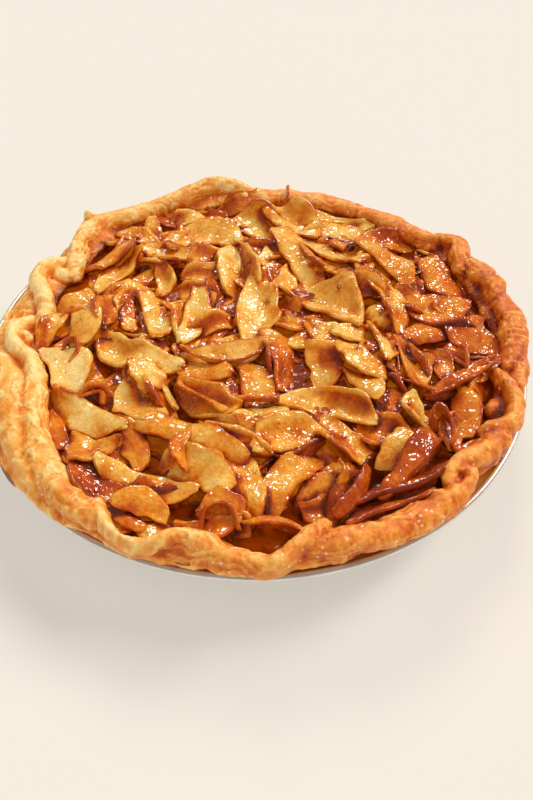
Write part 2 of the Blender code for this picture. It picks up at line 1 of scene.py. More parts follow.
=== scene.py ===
"""The looks of an open-faced apple pie in its foil pan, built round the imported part.

Lengths are in millimetres and are multiplied by MM where a mesh is made. Angles are in degrees,
anticlockwise seen from above, from +X. -Y is the front.
"""

import math

import bpy
import numpy as np
from mathutils import Matrix, Vector

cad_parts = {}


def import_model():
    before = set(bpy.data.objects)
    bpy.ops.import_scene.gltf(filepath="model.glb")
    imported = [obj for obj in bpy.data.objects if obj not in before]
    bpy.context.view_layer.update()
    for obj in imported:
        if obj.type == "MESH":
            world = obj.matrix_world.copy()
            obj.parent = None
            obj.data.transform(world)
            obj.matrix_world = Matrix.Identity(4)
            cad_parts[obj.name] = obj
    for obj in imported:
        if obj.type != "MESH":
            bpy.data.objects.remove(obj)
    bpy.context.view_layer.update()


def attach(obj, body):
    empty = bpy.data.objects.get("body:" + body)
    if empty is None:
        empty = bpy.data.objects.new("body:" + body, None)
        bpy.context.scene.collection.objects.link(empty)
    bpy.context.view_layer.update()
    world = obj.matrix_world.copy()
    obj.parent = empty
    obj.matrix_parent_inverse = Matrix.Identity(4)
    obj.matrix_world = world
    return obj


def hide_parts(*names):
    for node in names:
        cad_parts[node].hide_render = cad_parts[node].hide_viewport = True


MM = 0.001

# Outlines that are turned about the axis stop this short of it.
AXIS_R = 0.01

# The camera, fitted to the pan's bead in the photograph: its place, how far it looks down, its roll,
# and its lens for a frame that is 36 mm on its long side.
CAMERA_PLACE = (5.309, -278.046, 287.748)
CAMERA_DOWN = 46.56
CAMERA_ROLL = 0.45
CAMERA_LENS = 37.16

# The pan: its bead, bottom, top and flange, and the crimps round its side.
PAN_RIM_R = 122.2
PAN_DEPTH = 30.0
PAN_WALL = 0.6
PAN_BOTTOM_R = 90.0
PAN_TOP_R = 111.0
BEAD_R = 1.4
FLANGE_Z = 28.4
PAN_FLUTES = 150
STEPS_PER_FLUTE = 6
FLUTE_DEPTH = 0.28
# How much of the crimps' depth the bead and the flange have.
BEAD_FLUTED = 0.15
FLANGE_FLUTED = 0.3

# The pastry that lines the pan, the gap between the two, and how browned the lining is.
CASE_WALL = 3.6
CASE_FLOOR = 3.2
GAP = 0.3
LINING_STEPS = 96
LINING_TOAST = 0.4
# The size of the faces of the rim's skin, and the radius that it stays inside.
RIM_VOXEL = 0.78
CRUST_REACH = 123.6
# The bank of pastry on the flange: angle, inner radius, radius and height of its crest with the
# folds on it, and outer radius. The bank itself stops BANK_BELOW_FOLDS under that crest.
BANK_BELOW_FOLDS = 3.2
RIM_BANK = (
    (0, 107, 115, 42.5, 123.5), (8, 107, 116, 43, 124), (16, 107, 116, 43, 124),
    (22, 107, 116, 43, 123.5), (27, 106, 114, 41, 121), (32, 106, 116, 43.5, 123),
    (40, 106, 114, 40, 119.5), (50, 105, 113, 39.5, 118.5), (65, 105, 113, 39.5, 118.5),
    (80, 105, 113, 39.5, 118.5), (92, 105, 113, 39.5, 118.5), (100, 106, 114, 44, 120),
    (108, 105, 113, 43, 119), (120, 104, 112, 41, 118.5), (132, 104, 113, 41.5, 119.5),
    (140, 103, 112, 42.5, 119.5), (148, 98, 107, 42, 118), (154, 96, 105, 39, 116),
    (160, 98, 109, 42, 117.5), (167, 96, 104, 41.5, 117.5), (175, 93, 101, 41, 118),
    (184, 97, 104, 42, 119.5), (191, 95, 101, 41.5, 120.5), (199, 92.5, 99, 41, 121.5),
    (208, 97, 104, 41.5, 122.5), (217, 102, 109, 41.5, 123.5), (226, 105.5, 113, 41.5, 124),
    (235, 109, 115, 41.5, 123.5), (241, 110.5, 116, 39, 121), (248, 115.5, 120, 36, 123),
    (254, 111.5, 117, 39, 121.5), (261, 109.5, 115, 41, 121.5), (268, 113.5, 118, 39.5, 122.5),
    (274, 115.5, 120, 38.5, 123.5), (280, 109.5, 115, 41, 120.5), (287, 109, 114, 41, 120.5),
    (296, 110, 116, 41, 122), (305, 111, 116, 41, 122), (312, 110.5, 116.5, 41, 121),
    (317, 106.5, 111, 41, 118), (324, 108.5, 114, 41, 119.5), (332, 111, 116, 41.5, 120.5),
    (340, 107.5, 113, 42, 119.5), (347, 106, 112, 42, 119), (353, 107, 114, 42, 121.5),
)
# The folds that lie on the bank, as rolls: angle, radius, height, half the width, half the height.
ROLL_CAP = (1.45, 1.1, 0.75, 0.4)
RIM_ROLLS = {
    "right_front": (
        (349, 112.5, 36, 4, 4.5), (354, 115, 37, 6, 5.5), (0, 116.5, 38, 6.5, 6),
        (5, 117, 38.5, 7, 6.3), (10.5, 117, 38, 5.5, 5.8),
    ),
    "right_back": (
        (12, 115.5, 38, 5.5, 6), (16, 117, 38.5, 6.5, 6.3), (21, 117, 38.5, 6.5, 6.3),
        (25.5, 115.5, 37.5, 5, 5.5),
    ),
    "pleat": (
        (25.5, 109.5, 38, 4, 5), (28.5, 114, 39, 5, 6), (31.5, 118, 40, 5, 6),
        (34.5, 117, 39, 5, 6), (37.5, 113.5, 37.5, 4.5, 5.5),
    ),
    "back": (
        (37, 112, 36, 5, 5.5), (44, 112, 36, 6, 5.7), (56, 111.5, 36, 6, 5.5),
        (68, 111.5, 36, 6, 5.7), (80, 111.5, 36, 6, 5.5), (92, 112, 36.5, 5.5, 5.5),
        (97, 113.5, 40.5, 4.5, 7), (103, 114.5, 41.5, 4.5, 7.5), (111, 112, 39.5, 5, 6.5),
        (118, 112, 38, 5, 6),
    ),
    "back_left": (
        (117, 111.5, 37.5, 4.5, 5.5), (124, 112, 37.5, 5.5, 6), (131, 113.5, 38, 5.5, 6),
        (136.5, 115.5, 38.5, 5.5, 6.5), (140.5, 113, 38.7, 5.3, 6.5), (144, 109.5, 38.7, 5, 6.3),
        (148, 105, 38.3, 4.8, 6.3), (151.5, 101, 37.5, 4.5, 6), (155, 97.5, 36, 4, 5),
    ),
    "left_upper": (
        (152, 105, 37, 3.5, 4.5), (154.5, 109.5, 38, 4.2, 5.5), (157.5, 111.5, 38.5, 4.3, 6),
        (161, 110.5, 38.8, 4.3, 6), (164.3, 106.3, 38.8, 4.2, 6), (167.5, 101.5, 38.5, 4.2, 6),
        (171, 98, 38.2, 4.2, 5.8), (175, 96.5, 37.5, 4, 5.5), (180, 97, 36.5, 3.3, 4.5),
    ),
    "left_lower": (
        (177, 103.5, 37.5, 3.5, 4.5), (179.8, 106.8, 38.3, 4, 5.8), (183.2, 107.8, 38.8, 4.2, 6),
        (186.5, 106, 38.8, 4.2, 6), (189.5, 102.2, 38.6, 4.2, 6), (193, 98.5, 38.3, 4.3, 6),
        (197.5, 97, 38, 4.5, 6), (203, 99.5, 37.5, 5, 6.2), (210, 103.5, 37.5, 6, 6.3),
        (218, 108.5, 37.5, 6.5, 6.3), (227, 113.5, 37.3, 6.5, 6.3), (235, 116.2, 37, 6, 6.3),
        (240.5, 115.5, 36.5, 5, 5.5),
    ),
    "left_outer": (
        (184, 112.5, 34, 4, 4.5), (190, 111.5, 35.5, 6, 5.5), (197, 108.5, 37, 7.5, 6),
        (204, 109.5, 37, 7.5, 6), (211, 112.5, 36.5, 7, 6), (219, 115.5, 36, 6, 5.7),
        (227, 117.5, 35, 4.5, 5), (233, 118.5, 34, 3.5, 4),
    ),
    "front_loop": (
        (239.5, 112.5, 37.5, 3, 5), (242, 115.5, 37.8, 2.8, 5), (244.8, 119.3, 37.5, 2.8, 5),
        (248.8, 120.6, 37, 2.8, 5), (252.5, 118.8, 37.3, 2.8, 5), (255, 115, 38, 3.2, 5.5),
        (257.5, 112.8, 37.5, 4.3, 5.7),
        (261.5, 114.3, 36.5, 5.5, 5.8), (267, 117.2, 35, 4.8, 5.3), (272.8, 120.2, 34.5, 4, 5),
    ),
    "front_ridge": (
        (272.5, 121.5, 34.5, 3.5, 4.5), (276, 118.5, 36.5, 3.8, 5.3), (279, 114.5, 37.5, 3.8, 5.5),
        (281.5, 111, 37.8, 3.5, 5.3), (284.3, 108, 37, 2.8, 4),
    ),
    "front_right": (
        (281.5, 115.5, 35, 4, 4.5), (287, 115.3, 36, 5.5, 5.7), (295, 117, 36, 6.3, 6),
        (303, 117, 36, 6.3, 6), (309.5, 118, 36, 5.3, 5.8), (313.8, 118.5, 37, 3.3, 5.5),
        (316.3, 116, 37.8, 2.8, 4.8), (315.3, 112.8, 37.8, 2.8, 4.5),
    ),
    "curl": (
        (311.8, 113, 37, 3, 4.5), (314.5, 110.3, 37.5, 4, 5.3), (318.5, 110.8, 37.3, 4.8, 5.7),
        (323, 113.8, 36.8, 5.3, 5.7), (328.5, 115.8, 36.5, 5, 5.5),
    ),
    "right_flap": (
        (328.5, 110.5, 36.5, 3.5, 4.5), (330.5, 115.5, 38, 4, 5.5), (334, 118, 38.3, 4.3, 5.7),
        (338, 116.8, 38, 4.3, 5.5), (341.8, 112.8, 38.3, 4, 5.5), (344.8, 108.5, 38.3, 3.5, 4.8),
        (347, 105, 37.5, 2.5, 3.5),
    ),
    "right_end": (
        (343.5, 116, 36.5, 3.5, 4.5), (347, 116.5, 37, 4, 5), (351, 117.5, 36.5, 4, 5),
    ),
}
# Lumps on the rim: the flap at the back, a pinched point, the burnt drip, and three in the hollows
# of folds. The columns are angle, radius, height, and half the size round the rim, inwards and up.
RIM_FLAPS = (
    (102.5, 115, 44, 11, 3.5, 5.5), (137, 118, 43, 2.5, 2, 5), (219, 123, 31, 6, 3, 2.5),
    (183, 102.3, 38, 3.5, 3.5, 5), (156.5, 102.5, 36.5, 4, 6, 5),
    (337, 109, 34.5, 7, 4, 4.5),
)
# Where the burnt drip is dark: x, y, and below what height.
DRIP_X = -97
DRIP_Y = -78
DRIP_TOP = 34

# Height of the syrup in the middle, and at its edge, HEAP_R from there.
SYRUP_MID_Z = 34.6
SYRUP_EDGE_Z = 33.0
HEAP_R = 117.0
# The syrup also fills cracks between slices that are up to twice CRACK_REACH wide, to CRACK_DROP
# under the slices round them, and covers a slice by SYRUP_FILM at most.
CRACK_REACH = 3
CRACK_DROP = 2.4
SYRUP_FILM = 0.4
# How far it runs in under the rim, and how finely it is divided.
SYRUP_UNDER_RIM = 2.5
SYRUP_RINGS = 100
SYRUP_SIDES = 400
# The side and underside of the filling, which the pastry hides: radius and height.
FILLING_FOOT = ((106.5, 29.0), (86.0, 4.6), (AXIS_R, 4.6))
# The heap is a map of heights in cells of 1 mm, this many each way from the middle.
MAP_HALF = 118
# The heap sinks where it is higher than HEAP_TOP, and ends less than HEAP_ROOM above that.
HEAP_TOP = 45.0
HEAP_ROOM = 3.8
# How closely a slice follows what it lies on, from 0, not at all, to 1.
DRAPE = 0.6
# Points of a slice that lie deeper in the heap than this get the painted shade of points at this depth.
SHADE_REACH = 1.2
# Width of a slice's browned edge. A slice is tilted TILT_GAIN times what its row says.
EDGE_WIDTH = 1.7
TILT_GAIN = 1.5
# How the slices of the bed, the middle and the top are laid: faces along and across each slice,
# and the percentage of what is under it that it lies clear of.
BED_LAID = (8, 5, 32)
MIDDLE_LAID = (16, 8, 40)
TOP_LAID = (24, 9, 58)
# Slices of the bed, which shows between the others, are scattered from this seed.
BED_SEED = 11
BED_COUNT = 170
BED_R = 110.0
BED_FROM_POOL = 5
BED_FROM_RIM = 6
# Where syrup stands open: x, y, reach and how dark it is, from 0 to 1.
POOLS = (
    (50, -79, 9, 0.95), (12, -99, 9, 0.7), (8, -107, 8, 0.6), (-82, 64, 6, 0.8), (-53, 82, 6, 0.9),
    (26, -99, 6, 0.9), (76, -38, 5, 0.95),
)

# Slices in the middle of the heap, of which only a side or an end shows. The columns are x, y,
# heading, length, width left and right of the heading, tilt (left side up), pitch (head up), and
# tone from 0, pale, to 1, dark.
MIDDLE_SLICES = (
    (-71, 73, -25, 22, 5, 5, 8, 0, 0.5), (-33, 62, -68, 28, 5, 6, 12, 0, 0.25),
    (-24, 52, 25, 26, 7, 5, 14, 0, 0.5), (-50, 53, -10, 30, 6, 6, -8, 0, 0.4),
    (-83, 21, 30, 26, 8, 7, 6, 0, 0.45), (-31, 29, -30, 26, 7, 6, 8, 0, 0.35),
    (-35, 19, -30, 20, 6, 5, -8, 0, 0.25), (-17, 24, 70, 30, 8, 6, 12, 0, 0.5),
    (-67, 8, 80, 38, 7, 5, 12, 0, 0.35), (-72, 6, 82, 34, 6, 5, 14, 0, 0.4),
    (-28, 8, 75, 36, 9, 7, 10, 0, 0.35), (-20, 3, 35, 30, 6, 4, 20, 0, 0.5),
    (-6, -6, 22, 30, 7, 5, 14, 0, 0.35), (-96, 6, 20, 20, 5, 4, 18, 0, 0.6),
    (-96, 0, 70, 26, 6, 5, 12, 0, 0.5), (-81, 3, 20, 26, 8, 6, 8, 0, 0.4),
    (-38, 89, 20, 22, 6, 5, 12, 0, 0.3), (-38, 99, 25, 30, 6, 5, 10, 0, 0.6),
    (0, 100, -5, 34, 8, 7, 14, 0, 0.5), (37, 53, -40, 46, 8, 8, -8, 0, 0.35),
    (63, 45, -55, 36, 8, 7, -8, 0, 0.45), (4, 58, 65, 26, 5, 5, 16, 0, 0.25),
    (10, 44, 55, 26, 6, 5, 14, 0, 0.35), (12, 38, 70, 28, 5, 5, 16, 0, 0.35),
    (35, 7, -20, 32, 8, 6, 8, 0, 0.5), (19, 9, -40, 26, 7, 7, 0, 0, 0.4),
    (49, 34, -35, 30, 7, 6, 8, 0, 0.45), (50, 24, -20, 28, 8, 6, 10, 0, 0.6),
    (57, 8, -20, 24, 7, 5, 10, 0, 0.4), (65, 31, -70, 28, 7, 6, -10, 0, 0.45),
    (97, 22, -52, 26, 6, 6, 14, 0, 0.7), (88, 54, -40, 28, 7, 6, 4, 0, 0.75),
    (82, 58, 75, 20, 6, 6, 4, 0, 0.8), (53, 46, 70, 24, 5, 5, 14, 0, 0.5),
    (88, 65, -55, 22, 5, 5, 12, 0, 0.35), (30, -5, 5, 34, 7, 6, -10, 0, 0.3),
    (46, -7, -25, 26, 6, 5, 12, 0, 0.35), (80, 1, 15, 28, 8, 6, 10, 0, 0.6),
    (56, -2, -70, 28, 6, 6, -14, 0, 0.4), (-81, -14, 100, 24, 7, 6, 14, 0, 0.6),
    (-75, -29, 105, 40, 7, 6, 8, 0, 0.4), (-66, -42, 10, 20, 5, 5, 20, 0, 0.7),
    (-39, -39, 115, 30, 5, 4, 14, 0, 0.35), (-38, -66, -10, 38, 9, 7, -6, 0, 0.6),
    (-13, -71, -35, 40, 7, 5, 10, 0, 0.35), (-8, -87, -45, 36, 8, 7, 6, 0, 0.45),
    (-13, -104, 10, 26, 6, 5, 10, 0, 0.65), (-42, -94, 0, 20, 6, 5, 8, 0, 0.6),
    (-70, -83, -50, 28, 5, 5, 10, 0, 0.7), (-52, -64, -45, 32, 6, 6, 6, 0, 0.65),
    (38, -30, 98, 30, 6, 5, -12, 0, 0.35), (55, -11, -75, 28, 6, 5, -16, 0, 0.25),
    (81, -21, 75, 30, 7, 6, 10, 0, 0.65), (91, -11, 100, 22, 6, 5, 14, 0, 0.8),
    (29, -80, 30, 26, 6, 6, 10, 0, 0.45), (24, -88, 45, 22, 5, 5, 12, 0, 0.4),
    (31, -99, 35, 22, 5, 5, 10, 0, 0.85), (92, -38, 100, 24, 6, 5, 14, 0, 0.55),
    (96, -31, 60, 22, 5, 5, 14, 0, 0.5), (48, -97, 22, 34, 5, 4, 12, 0, 0.9),
    (6, -50, -5, 26, 6, 6, -12, 0, 0.3), (2, -58, -30, 24, 6, 5, 12, 0, 0.35),
    (82, -55, 70, 24, 6, 5, 14, 0, 0.7), (-60, 72, -30, 26, 6, 6, 6, 0, 0.45),
)

# Slices on top, the lowest first, in the same columns.
TOP_SLICES = (
    (-60, -84, -38, 27, 6, 7, 0, 0, 0.7), (-41, -96, -15, 22, 5, 5, 5, 0, 0.6),
    (-16, -104, 5, 24, 4, 5, 8, 0, 0.7), (-80, -57, -60, 21, 5, 5, 0, 0, 0.7),
    (-70, -26, -62, 32, 6, 6, -5, 0, 0.35), (-79, 4, -80, 30, 9, 7, 0, 0, 0.45),
    (-92, 0, 65, 26, 4, 4, 10, 0, 0.45), (-76, 87, 25, 24, 5, 5, -12, 0, 0.5),
    (-54, 86, 0, 22, 6, 5, 0, 0, 0.85), (-24, 104, 12, 32, 7, 6, 10, 0, 0.5),
    (-4, 103, 8, 36, 7, 6, 10, 0, 0.5), (58, 91, -28, 26, 6, 6, 10, 0, 0.6),
    (90, 40, -60, 32, 8, 8, 0, 0, 0.75), (103, 36, -65, 30, 5, 5, 14, 0, 0.8),
    (101, 3, -80, 32, 10, 10, 8, 0, 0.7), (80, -19, -75, 24, 5, 5, 0, 0, 0.55),
    (58, -43, 50, 25, 8, 7, 0, 0, 0.6), (52, -55, -30, 26, 8, 8, 0, 0, 0.6),
    (92, -62, 35, 26, 5, 6, 8, 0, 0.7), (28, -93, 30, 20, 6, 6, 5, 0, 0.6),
    (-8, -58, -20, 30, 5, 5, 10, 0, 0.4), (-6, -66, -25, 30, 4, 5, 10, 0, 0.45),
    (46, -34, -60, 26, 7, 6, 0, 0, 0.35), (-22, -26, -20, 28, 8, 7, 0, 0, 0.55),
    (-29, 9, -100, 34, 6, 6, -6, 0, 0.3), (-47, 56, -15, 28, 7, 6, 0, 0, 0.4),
    (-24, 44, 15, 26, 6, 7, 0, 0, 0.45), (63, 46, -50, 36, 8, 6, -6, 0, 0.45),
    (36, 57, -45, 42, 10, 4, -10, 0, 0.35), (-46, 41, -80, 26, 5, 5, 6, 0, 0.35),
    (-66, 15, -103, 32, 5, 5, 8, 0, 0.4), (-59, 17, -80, 29, 4, 5, -10, 0, 0.35),
    (9, -17, -75, 36, 13, 5, -8, 0, 0.55), (29, -20, -80, 27, 8, 8, 6, 0, 0.4),
    (62, 18, -70, 36, 7, 6, -8, 0, 0.35), (51, 27, -20, 24, 7, 6, 8, 0, 0.5),
    (40, 92, -12, 47, 7, 7, 12, 0, 0.35), (40, 75, -5, 42, 8, 8, 10, 0, 0.45),
    (0, 84, -12, 33, 11, 10, 6, 0, 0.3), (18, 84, -32, 33, 10, 8, 4, -4, 0.4),
    (-25, 76, -15, 38, 10, 10, 4, 0, 0.4), (-43, 67, -68, 20, 7, 7, 0, 0, 0.5),
    (-68, 44, 55, 33, 6, 6, -8, 0, 0.45), (-73, 57, 40, 31, 6, 7, -10, 0, 0.4),
    (-12, 48, -88, 39, 6, 7, -8, 0, 0.3), (68, 70, 22, 43, 9, 8, 10, 0, 0.6),
    (21, 56, -65, 47, 10, 9, -6, -5, 0.45), (82, 21, -8, 37, 9, 10, 6, 0, 0.5),
    (-46, 13, -75, 37, 8, 8, -8, 0, 0.3), (-1, 18, -92, 53, 11, 8, -7, 0, 0.35),
    (-13, -12, 10, 39, 4, 9, 8, 0, 0.4), (32, 18, -42, 48, 12, 8, -8, 0, 0.3),
    (-52, -15, -28, 45, 8, 8, 8, 0, 0.25), (-83, -25, -65, 36, 9, 9, -8, 0, 0.2),
    (-70, -49, -35, 46, 6, 6, 10, 0, 0.25), (-47, -44, -65, 34, 9, 9, -6, 0, 0.35),
    (-46, -32, -60, 22, 7, 7, 0, 0, 0.25), (-64, -67, -15, 23, 8, 8, 10, 0, 0.5),
    (-20, -42, -35, 32, 7, 7, 10, 0, 0.45), (0, -33, -85, 26, 9, 9, 0, -8, 0.35),
    (-27, -66, -22, 54, 6, 5, 8, 0, 0.35), (46, -21, -55, 32, 6, 6, -10, 0, 0.3),
    (68, -19, -75, 31, 7, 7, -8, 0, 0.4), (36, -60, -50, 30, 8, 8, 0, 0, 0.35),
    (15, -63, 20, 34, 9, 8, 6, 0, 0.3), (30, -44, -12, 43, 8, 7, 6, 0, 0.3),
    (-22, -81, -30, 34, 8, 7, 8, 0, 0.35), (-41, -84, -22, 43, 7, 8, 10, 0, 0.3),
    (15, -83, 50, 35, 7, 7, -8, 0, 0.5), (57, -67, 60, 22, 7, 7, 0, 0, 0.5),
    (61, -84, 30, 34, 4, 4, 10, 8, 0.95), (66, -72, 62, 25, 5, 5, 0, 14, 0.85),
    (90, -27, 34, 43, 4, 5, 14, 0, 0.7), (87, -47, 85, 25, 6, 7, -14, 0, 0.55),
    (36, -89, 62, 31, 4, 3, 0, 6, 0.85), (-11, -97, 10, 18, 6, 6, 16, 0, 0.7),
    (68, -48, -60, 20, 6, 6, -10, 0, 0.2),
)

# Curled strips and slices on edge: tone, then places along the strip, each with x, y, z, half the
# width, half the thickness, and the bank of the width from flat.
STRIP_CAP = (1.35, 0.9, 0.45)
STRIPS = (
    (0.80, ((49, -90, 37, 2.4, 2, 0), (55, -84, 39, 3.4, 3.2, 0), (61, -77, 41, 3.9, 3.9, 0),
            (65, -71, 42, 4.4, 4, -10), (69, -65.5, 42, 4.8, 3.2, -20))),
    (0.95, ((39, -92, 36.5, 2, 1.6, 30), (50, -88, 38, 2.6, 2, 30), (61, -85.5, 39, 2.8, 2.2, 30),
            (70, -81, 39.5, 2.5, 1.8, 40), (76, -76, 40, 1.8, 1.2, 50))),
    (0.80, ((36, -102, 36.5, 1.8, 1.2, 20), (44, -98.5, 38, 2, 1.3, 50), (52, -95.5, 38.5, 2, 1.2, 30),
            (60, -92.5, 38.5, 1.8, 1.1, 50), (69, -88, 38.5, 1.4, 1, 30))),
    (0.78, ((73, -57, 37, 2.4, 1.2, 70), (72.5, -51, 40, 2.5, 1.2, 75), (75, -48.5, 42, 2.6, 1.2, 80),
            (78, -52, 42, 2.6, 1.2, 85), (80, -59, 41, 2.5, 1.2, 80), (79, -66, 38, 2, 1.1, 75))),
    (0.72, ((73, -38, 37, 2.2, 1.1, 60), (84, -34.5, 39.5, 3, 1.2, 65), (95, -28, 41, 3, 1.2, 65),
            (106, -18, 41, 2, 1, 60))),
    (0.78, ((44, -79, 40, 2.2, 1.1, 60), (42, -86, 40.5, 3, 1.3, 60), (37, -93, 39.5, 3, 1.3, 55),
            (31, -99, 38, 2.4, 1.2, 45))),
    (0.50, ((34, -77, 41, 2.2, 1.1, 60), (36, -83, 41, 2.5, 1.1, 70), (33, -88, 39, 2, 1.1, 60))),
    (0.62, ((-28, -58, 40, 2.4, 1.1, 0), (-27, -65, 43, 2.9, 1.2, -20), (-29, -73, 43.5, 2.8, 1.2, 25),
            (-25.5, -81, 41, 2.4, 1.1, 50))),
    (0.60, ((-18.5, -106, 36, 2.6, 1.1, 70), (-17.5, -100, 40.5, 3.2, 1.2, 60),
            (-12.5, -96.5, 42, 3.5, 1.2, 50), (-7, -99, 41.5, 3.4, 1.2, 60), (-4.5, -105, 37, 2.8, 1.1, 70))),
    (0.55, ((-32, -10, 39, 1.6, 1.1, 30), (-27, -17, 41, 2.2, 1.2, 50), (-17, -22.5, 42, 2.4, 1.2, 60),
            (-7, -22, 42, 2.2, 1.1, 60), (2, -16, 41.5, 1.8, 1, 50))),
    (0.64, ((-10, -43, 40.5, 3.2, 1.8, 40), (0, -44, 41.5, 3.4, 2, 45), (9, -43.5, 41, 3.2, 1.8, 40))),
    (0.22, ((-2, -51, 39, 2.6, 1.8, 20), (6, -51, 40, 2.9, 1.9, 20), (13, -49.5, 40, 2.8, 1.8, 20))),
    (0.66, ((-73, -41, 39, 1.6, 1, 10), (-68, -41, 41, 2.4, 1.1, 30), (-63, -40.5, 41, 2.2, 1, 60),
            (-62.5, -44.5, 39, 1.6, 1, 70))),
    (0.70, ((-85.5, -14, 37, 1.8, 1, 60), (-83, -10, 40.5, 2.2, 1.1, 70), (-79, -9.5, 41.5, 2.3, 1.1, 80),
            (-76.5, -15, 41, 2.3, 1.1, 75), (-79, -22, 38, 1.8, 1, 60))),
    (0.64, ((-81, -68, 35.5, 2.6, 1.6, -25), (-72, -82, 36, 3, 1.8, -20), (-61, -91, 36, 2.8, 1.6, -20),
            (-50, -98, 35.5, 2.8, 1.6, -10), (-40, -104, 35, 2.4, 1.4, 0))),
    (0.62, ((-3, -102, 37, 1.6, 1.1, 30), (5, -102.5, 38.5, 1.9, 1.2, 30), (13, -103, 38, 1.8, 1.2, 30),
            (19, -105.5, 36.5, 1.4, 1, 30))),
    (0.30, ((-39, -30, 38, 1.6, 1.1, 40), (-37, -38, 40, 2, 1.2, 50), (-32, -48, 40, 1.8, 1.2, 50))),
    (0.50, ((-31, -32, 39, 1.6, 1, 60), (-29, -38, 41.5, 2.2, 1.2, 50), (-20, -45, 42, 2.6, 1.3, 40),
            (-12, -50, 41.5, 2.6, 1.3, 30))),
    (0.30, ((57, -4, 39.5, 1.8, 1.1, 60), (58.5, -10, 41, 2.4, 1.2, 70), (56.5, -19, 40.5, 2.2, 1.1, 70))),
    (0.70, ((60, -12, 40, 1.8, 1, 80), (61.5, -19, 41, 2.2, 1.1, 80), (62, -26, 40, 1.8, 1, 70))),
    (0.66, ((91, -9, 38.5, 2, 1.3, 70), (92.5, -16, 40, 2.4, 1.5, 80), (92, -22, 38.5, 2, 1.3, 70))),
    (0.62, ((60, -26, 38.5, 1.6, 1, 20), (67, -33, 40.5, 2, 1.1, 30), (75, -37, 40.5, 1.8, 1, 30))),
    (0.72, ((13, 99, 38, 1.6, 1, 70), (15.5, 105, 42, 2, 1, 80), (15.5, 110, 44.5, 1.6, 0.9, 80))),
)

# Soft studio lights, all far off: towards where, how wide, how strong, the colour, and whether
# glossy skins mirror them.
LIGHTS = {
    "window": ((0.85, 0.3, 0.95), 14, 0.85, (1.0, 0.97, 0.94), False),
    "window_pane": ((0.8, 0.5, 0.75), 17, 1.15, (1.0, 0.95, 0.88), True),
    "back_window": ((0.0, 0.84, 0.76), 19, 1.1, (1.0, 0.96, 0.9), True),
    "left_fill": ((-0.8, -0.2, 0.9), 80, 0.75, (1.0, 1.0, 1.0), False),
    "front_fill": ((0.3, -0.9, 0.9), 80, 0.82, (1.0, 1.0, 1.0), False),
}
SKY_STRENGTH = 0.2
SKY_COLOUR = (1.0, 0.82, 0.6, 1.0)
# The table under the pan, and the gap that keeps the two from touching.
FLOOR_HALF = 3000.0
FLOOR_GAP = 0.2


# ---------------------------------------------------------------- helpers


def srgb(*values):
    """A linear colour from red, green and blue out of 255."""
    shares = np.array(values) / 255
    linear = np.where(shares <= 0.04045, shares / 12.92, ((shares + 0.055) / 1.055) ** 2.4)
    return (*[float(v) for v in linear], 1.0)


class Noise:
    """Smooth repeating noise from -1 to 1, read at many points at once."""

    CELLS = 48

    def __init__(self, seed):
        self.values = np.random.default_rng(seed).uniform(-1, 1, (self.CELLS,) * 3)

    def __call__(self, points, size):
        spots = np.asarray(points, float) / size
        low = np.floor(spots).astype(int)
        share = spots - low
        share = share * share * (3 - 2 * share)
        low %= self.CELLS
        high = (low + 1) % self.CELLS
        total = np.zeros(len(spots))
        for corner in range(8):
            picks, weight = [], 1.0
            for axis in range(3):
                upper = corner >> axis & 1
                picks.append((high if upper else low)[:, axis])
                weight = weight * (share[:, axis] if upper else 1 - share[:, axis])
            total += weight * self.values[tuple(picks)]
        return total


def smoothstep(low, high, value):
    t = np.clip((value - low) / (high - low), 0, 1)
    return t * t * (3 - 2 * t)


def polar(points):
    """Angles in degrees and radii of points."""
    x, y = points[:, 0], points[:, 1]
    return np.degrees(np.arctan2(y, x)) % 360, np.hypot(x, y)


def turned(radius, turn, height):
    """Points round the axis, at angles in radians."""
    return np.stack([radius * np.cos(turn), radius * np.sin(turn), 0 * turn + height], 1)


def round_steps(steps):
    """Angles in radians that divide a turn evenly."""
    return 2 * math.pi * np.arange(steps) / steps


class Shape:
    """Points and faces that grow as shapes are added."""

    def __init__(self):
        self.points, self.faces, self.count = [], [], 0

    def add(self, points, faces):
        points = np.asarray(points, float).reshape(-1, 3)
        self.faces += [tuple(self.count + i for i in face) for face in faces]
        self.points.append(points)
        self.count += len(points)

    def object(self, name, smooth=True):
        mesh = bpy.data.meshes.new(name)
        mesh.from_pydata((np.concatenate(self.points) * MM).tolist(), [], self.faces)
        if smooth:
            mesh.shade_smooth()
        made = bpy.data.objects.new(name, mesh)
        bpy.context.scene.collection.objects.link(made)
        return made


def read_points(mesh):
    """A mesh's points in millimetres."""
    points = np.zeros(len(mesh.vertices) * 3)
    mesh.vertices.foreach_get("co", points)
    return points.reshape(-1, 3) / MM


def write_points(mesh, points):
    mesh.vertices.foreach_set("co", (np.asarray(points) * MM).ravel())
    mesh.update()


def read_normals(mesh):
    normals = np.zeros(len(mesh.vertices) * 3)
    mesh.vertices.foreach_get("normal", normals)
    return normals.reshape(-1, 3)


def set_attribute(mesh, name, values):
    attribute = mesh.attributes.new(name, "FLOAT", "POINT")
    attribute.data.foreach_set("value", np.asarray(values, np.float32))


def ring_faces(rings, sides, closed=True):
    """Faces between rings of points; the last ring joins the first if closed."""
    faces = []
    for i in range(rings if closed else rings - 1):
        j = (i + 1) % rings
        for k in range(sides):
            m = (k + 1) % sides
            faces.append((i * sides + k, j * sides + k, j * sides + m, i * sides + m))
    return faces


def tube_faces(rings, sides):
    """Faces of a tube of rings of points with its ends shut."""
    faces = ring_faces(rings, sides, closed=False)
    end = (rings - 1) * sides
    return faces + [tuple(range(sides)), tuple(end + k for k in reversed(range(sides)))]


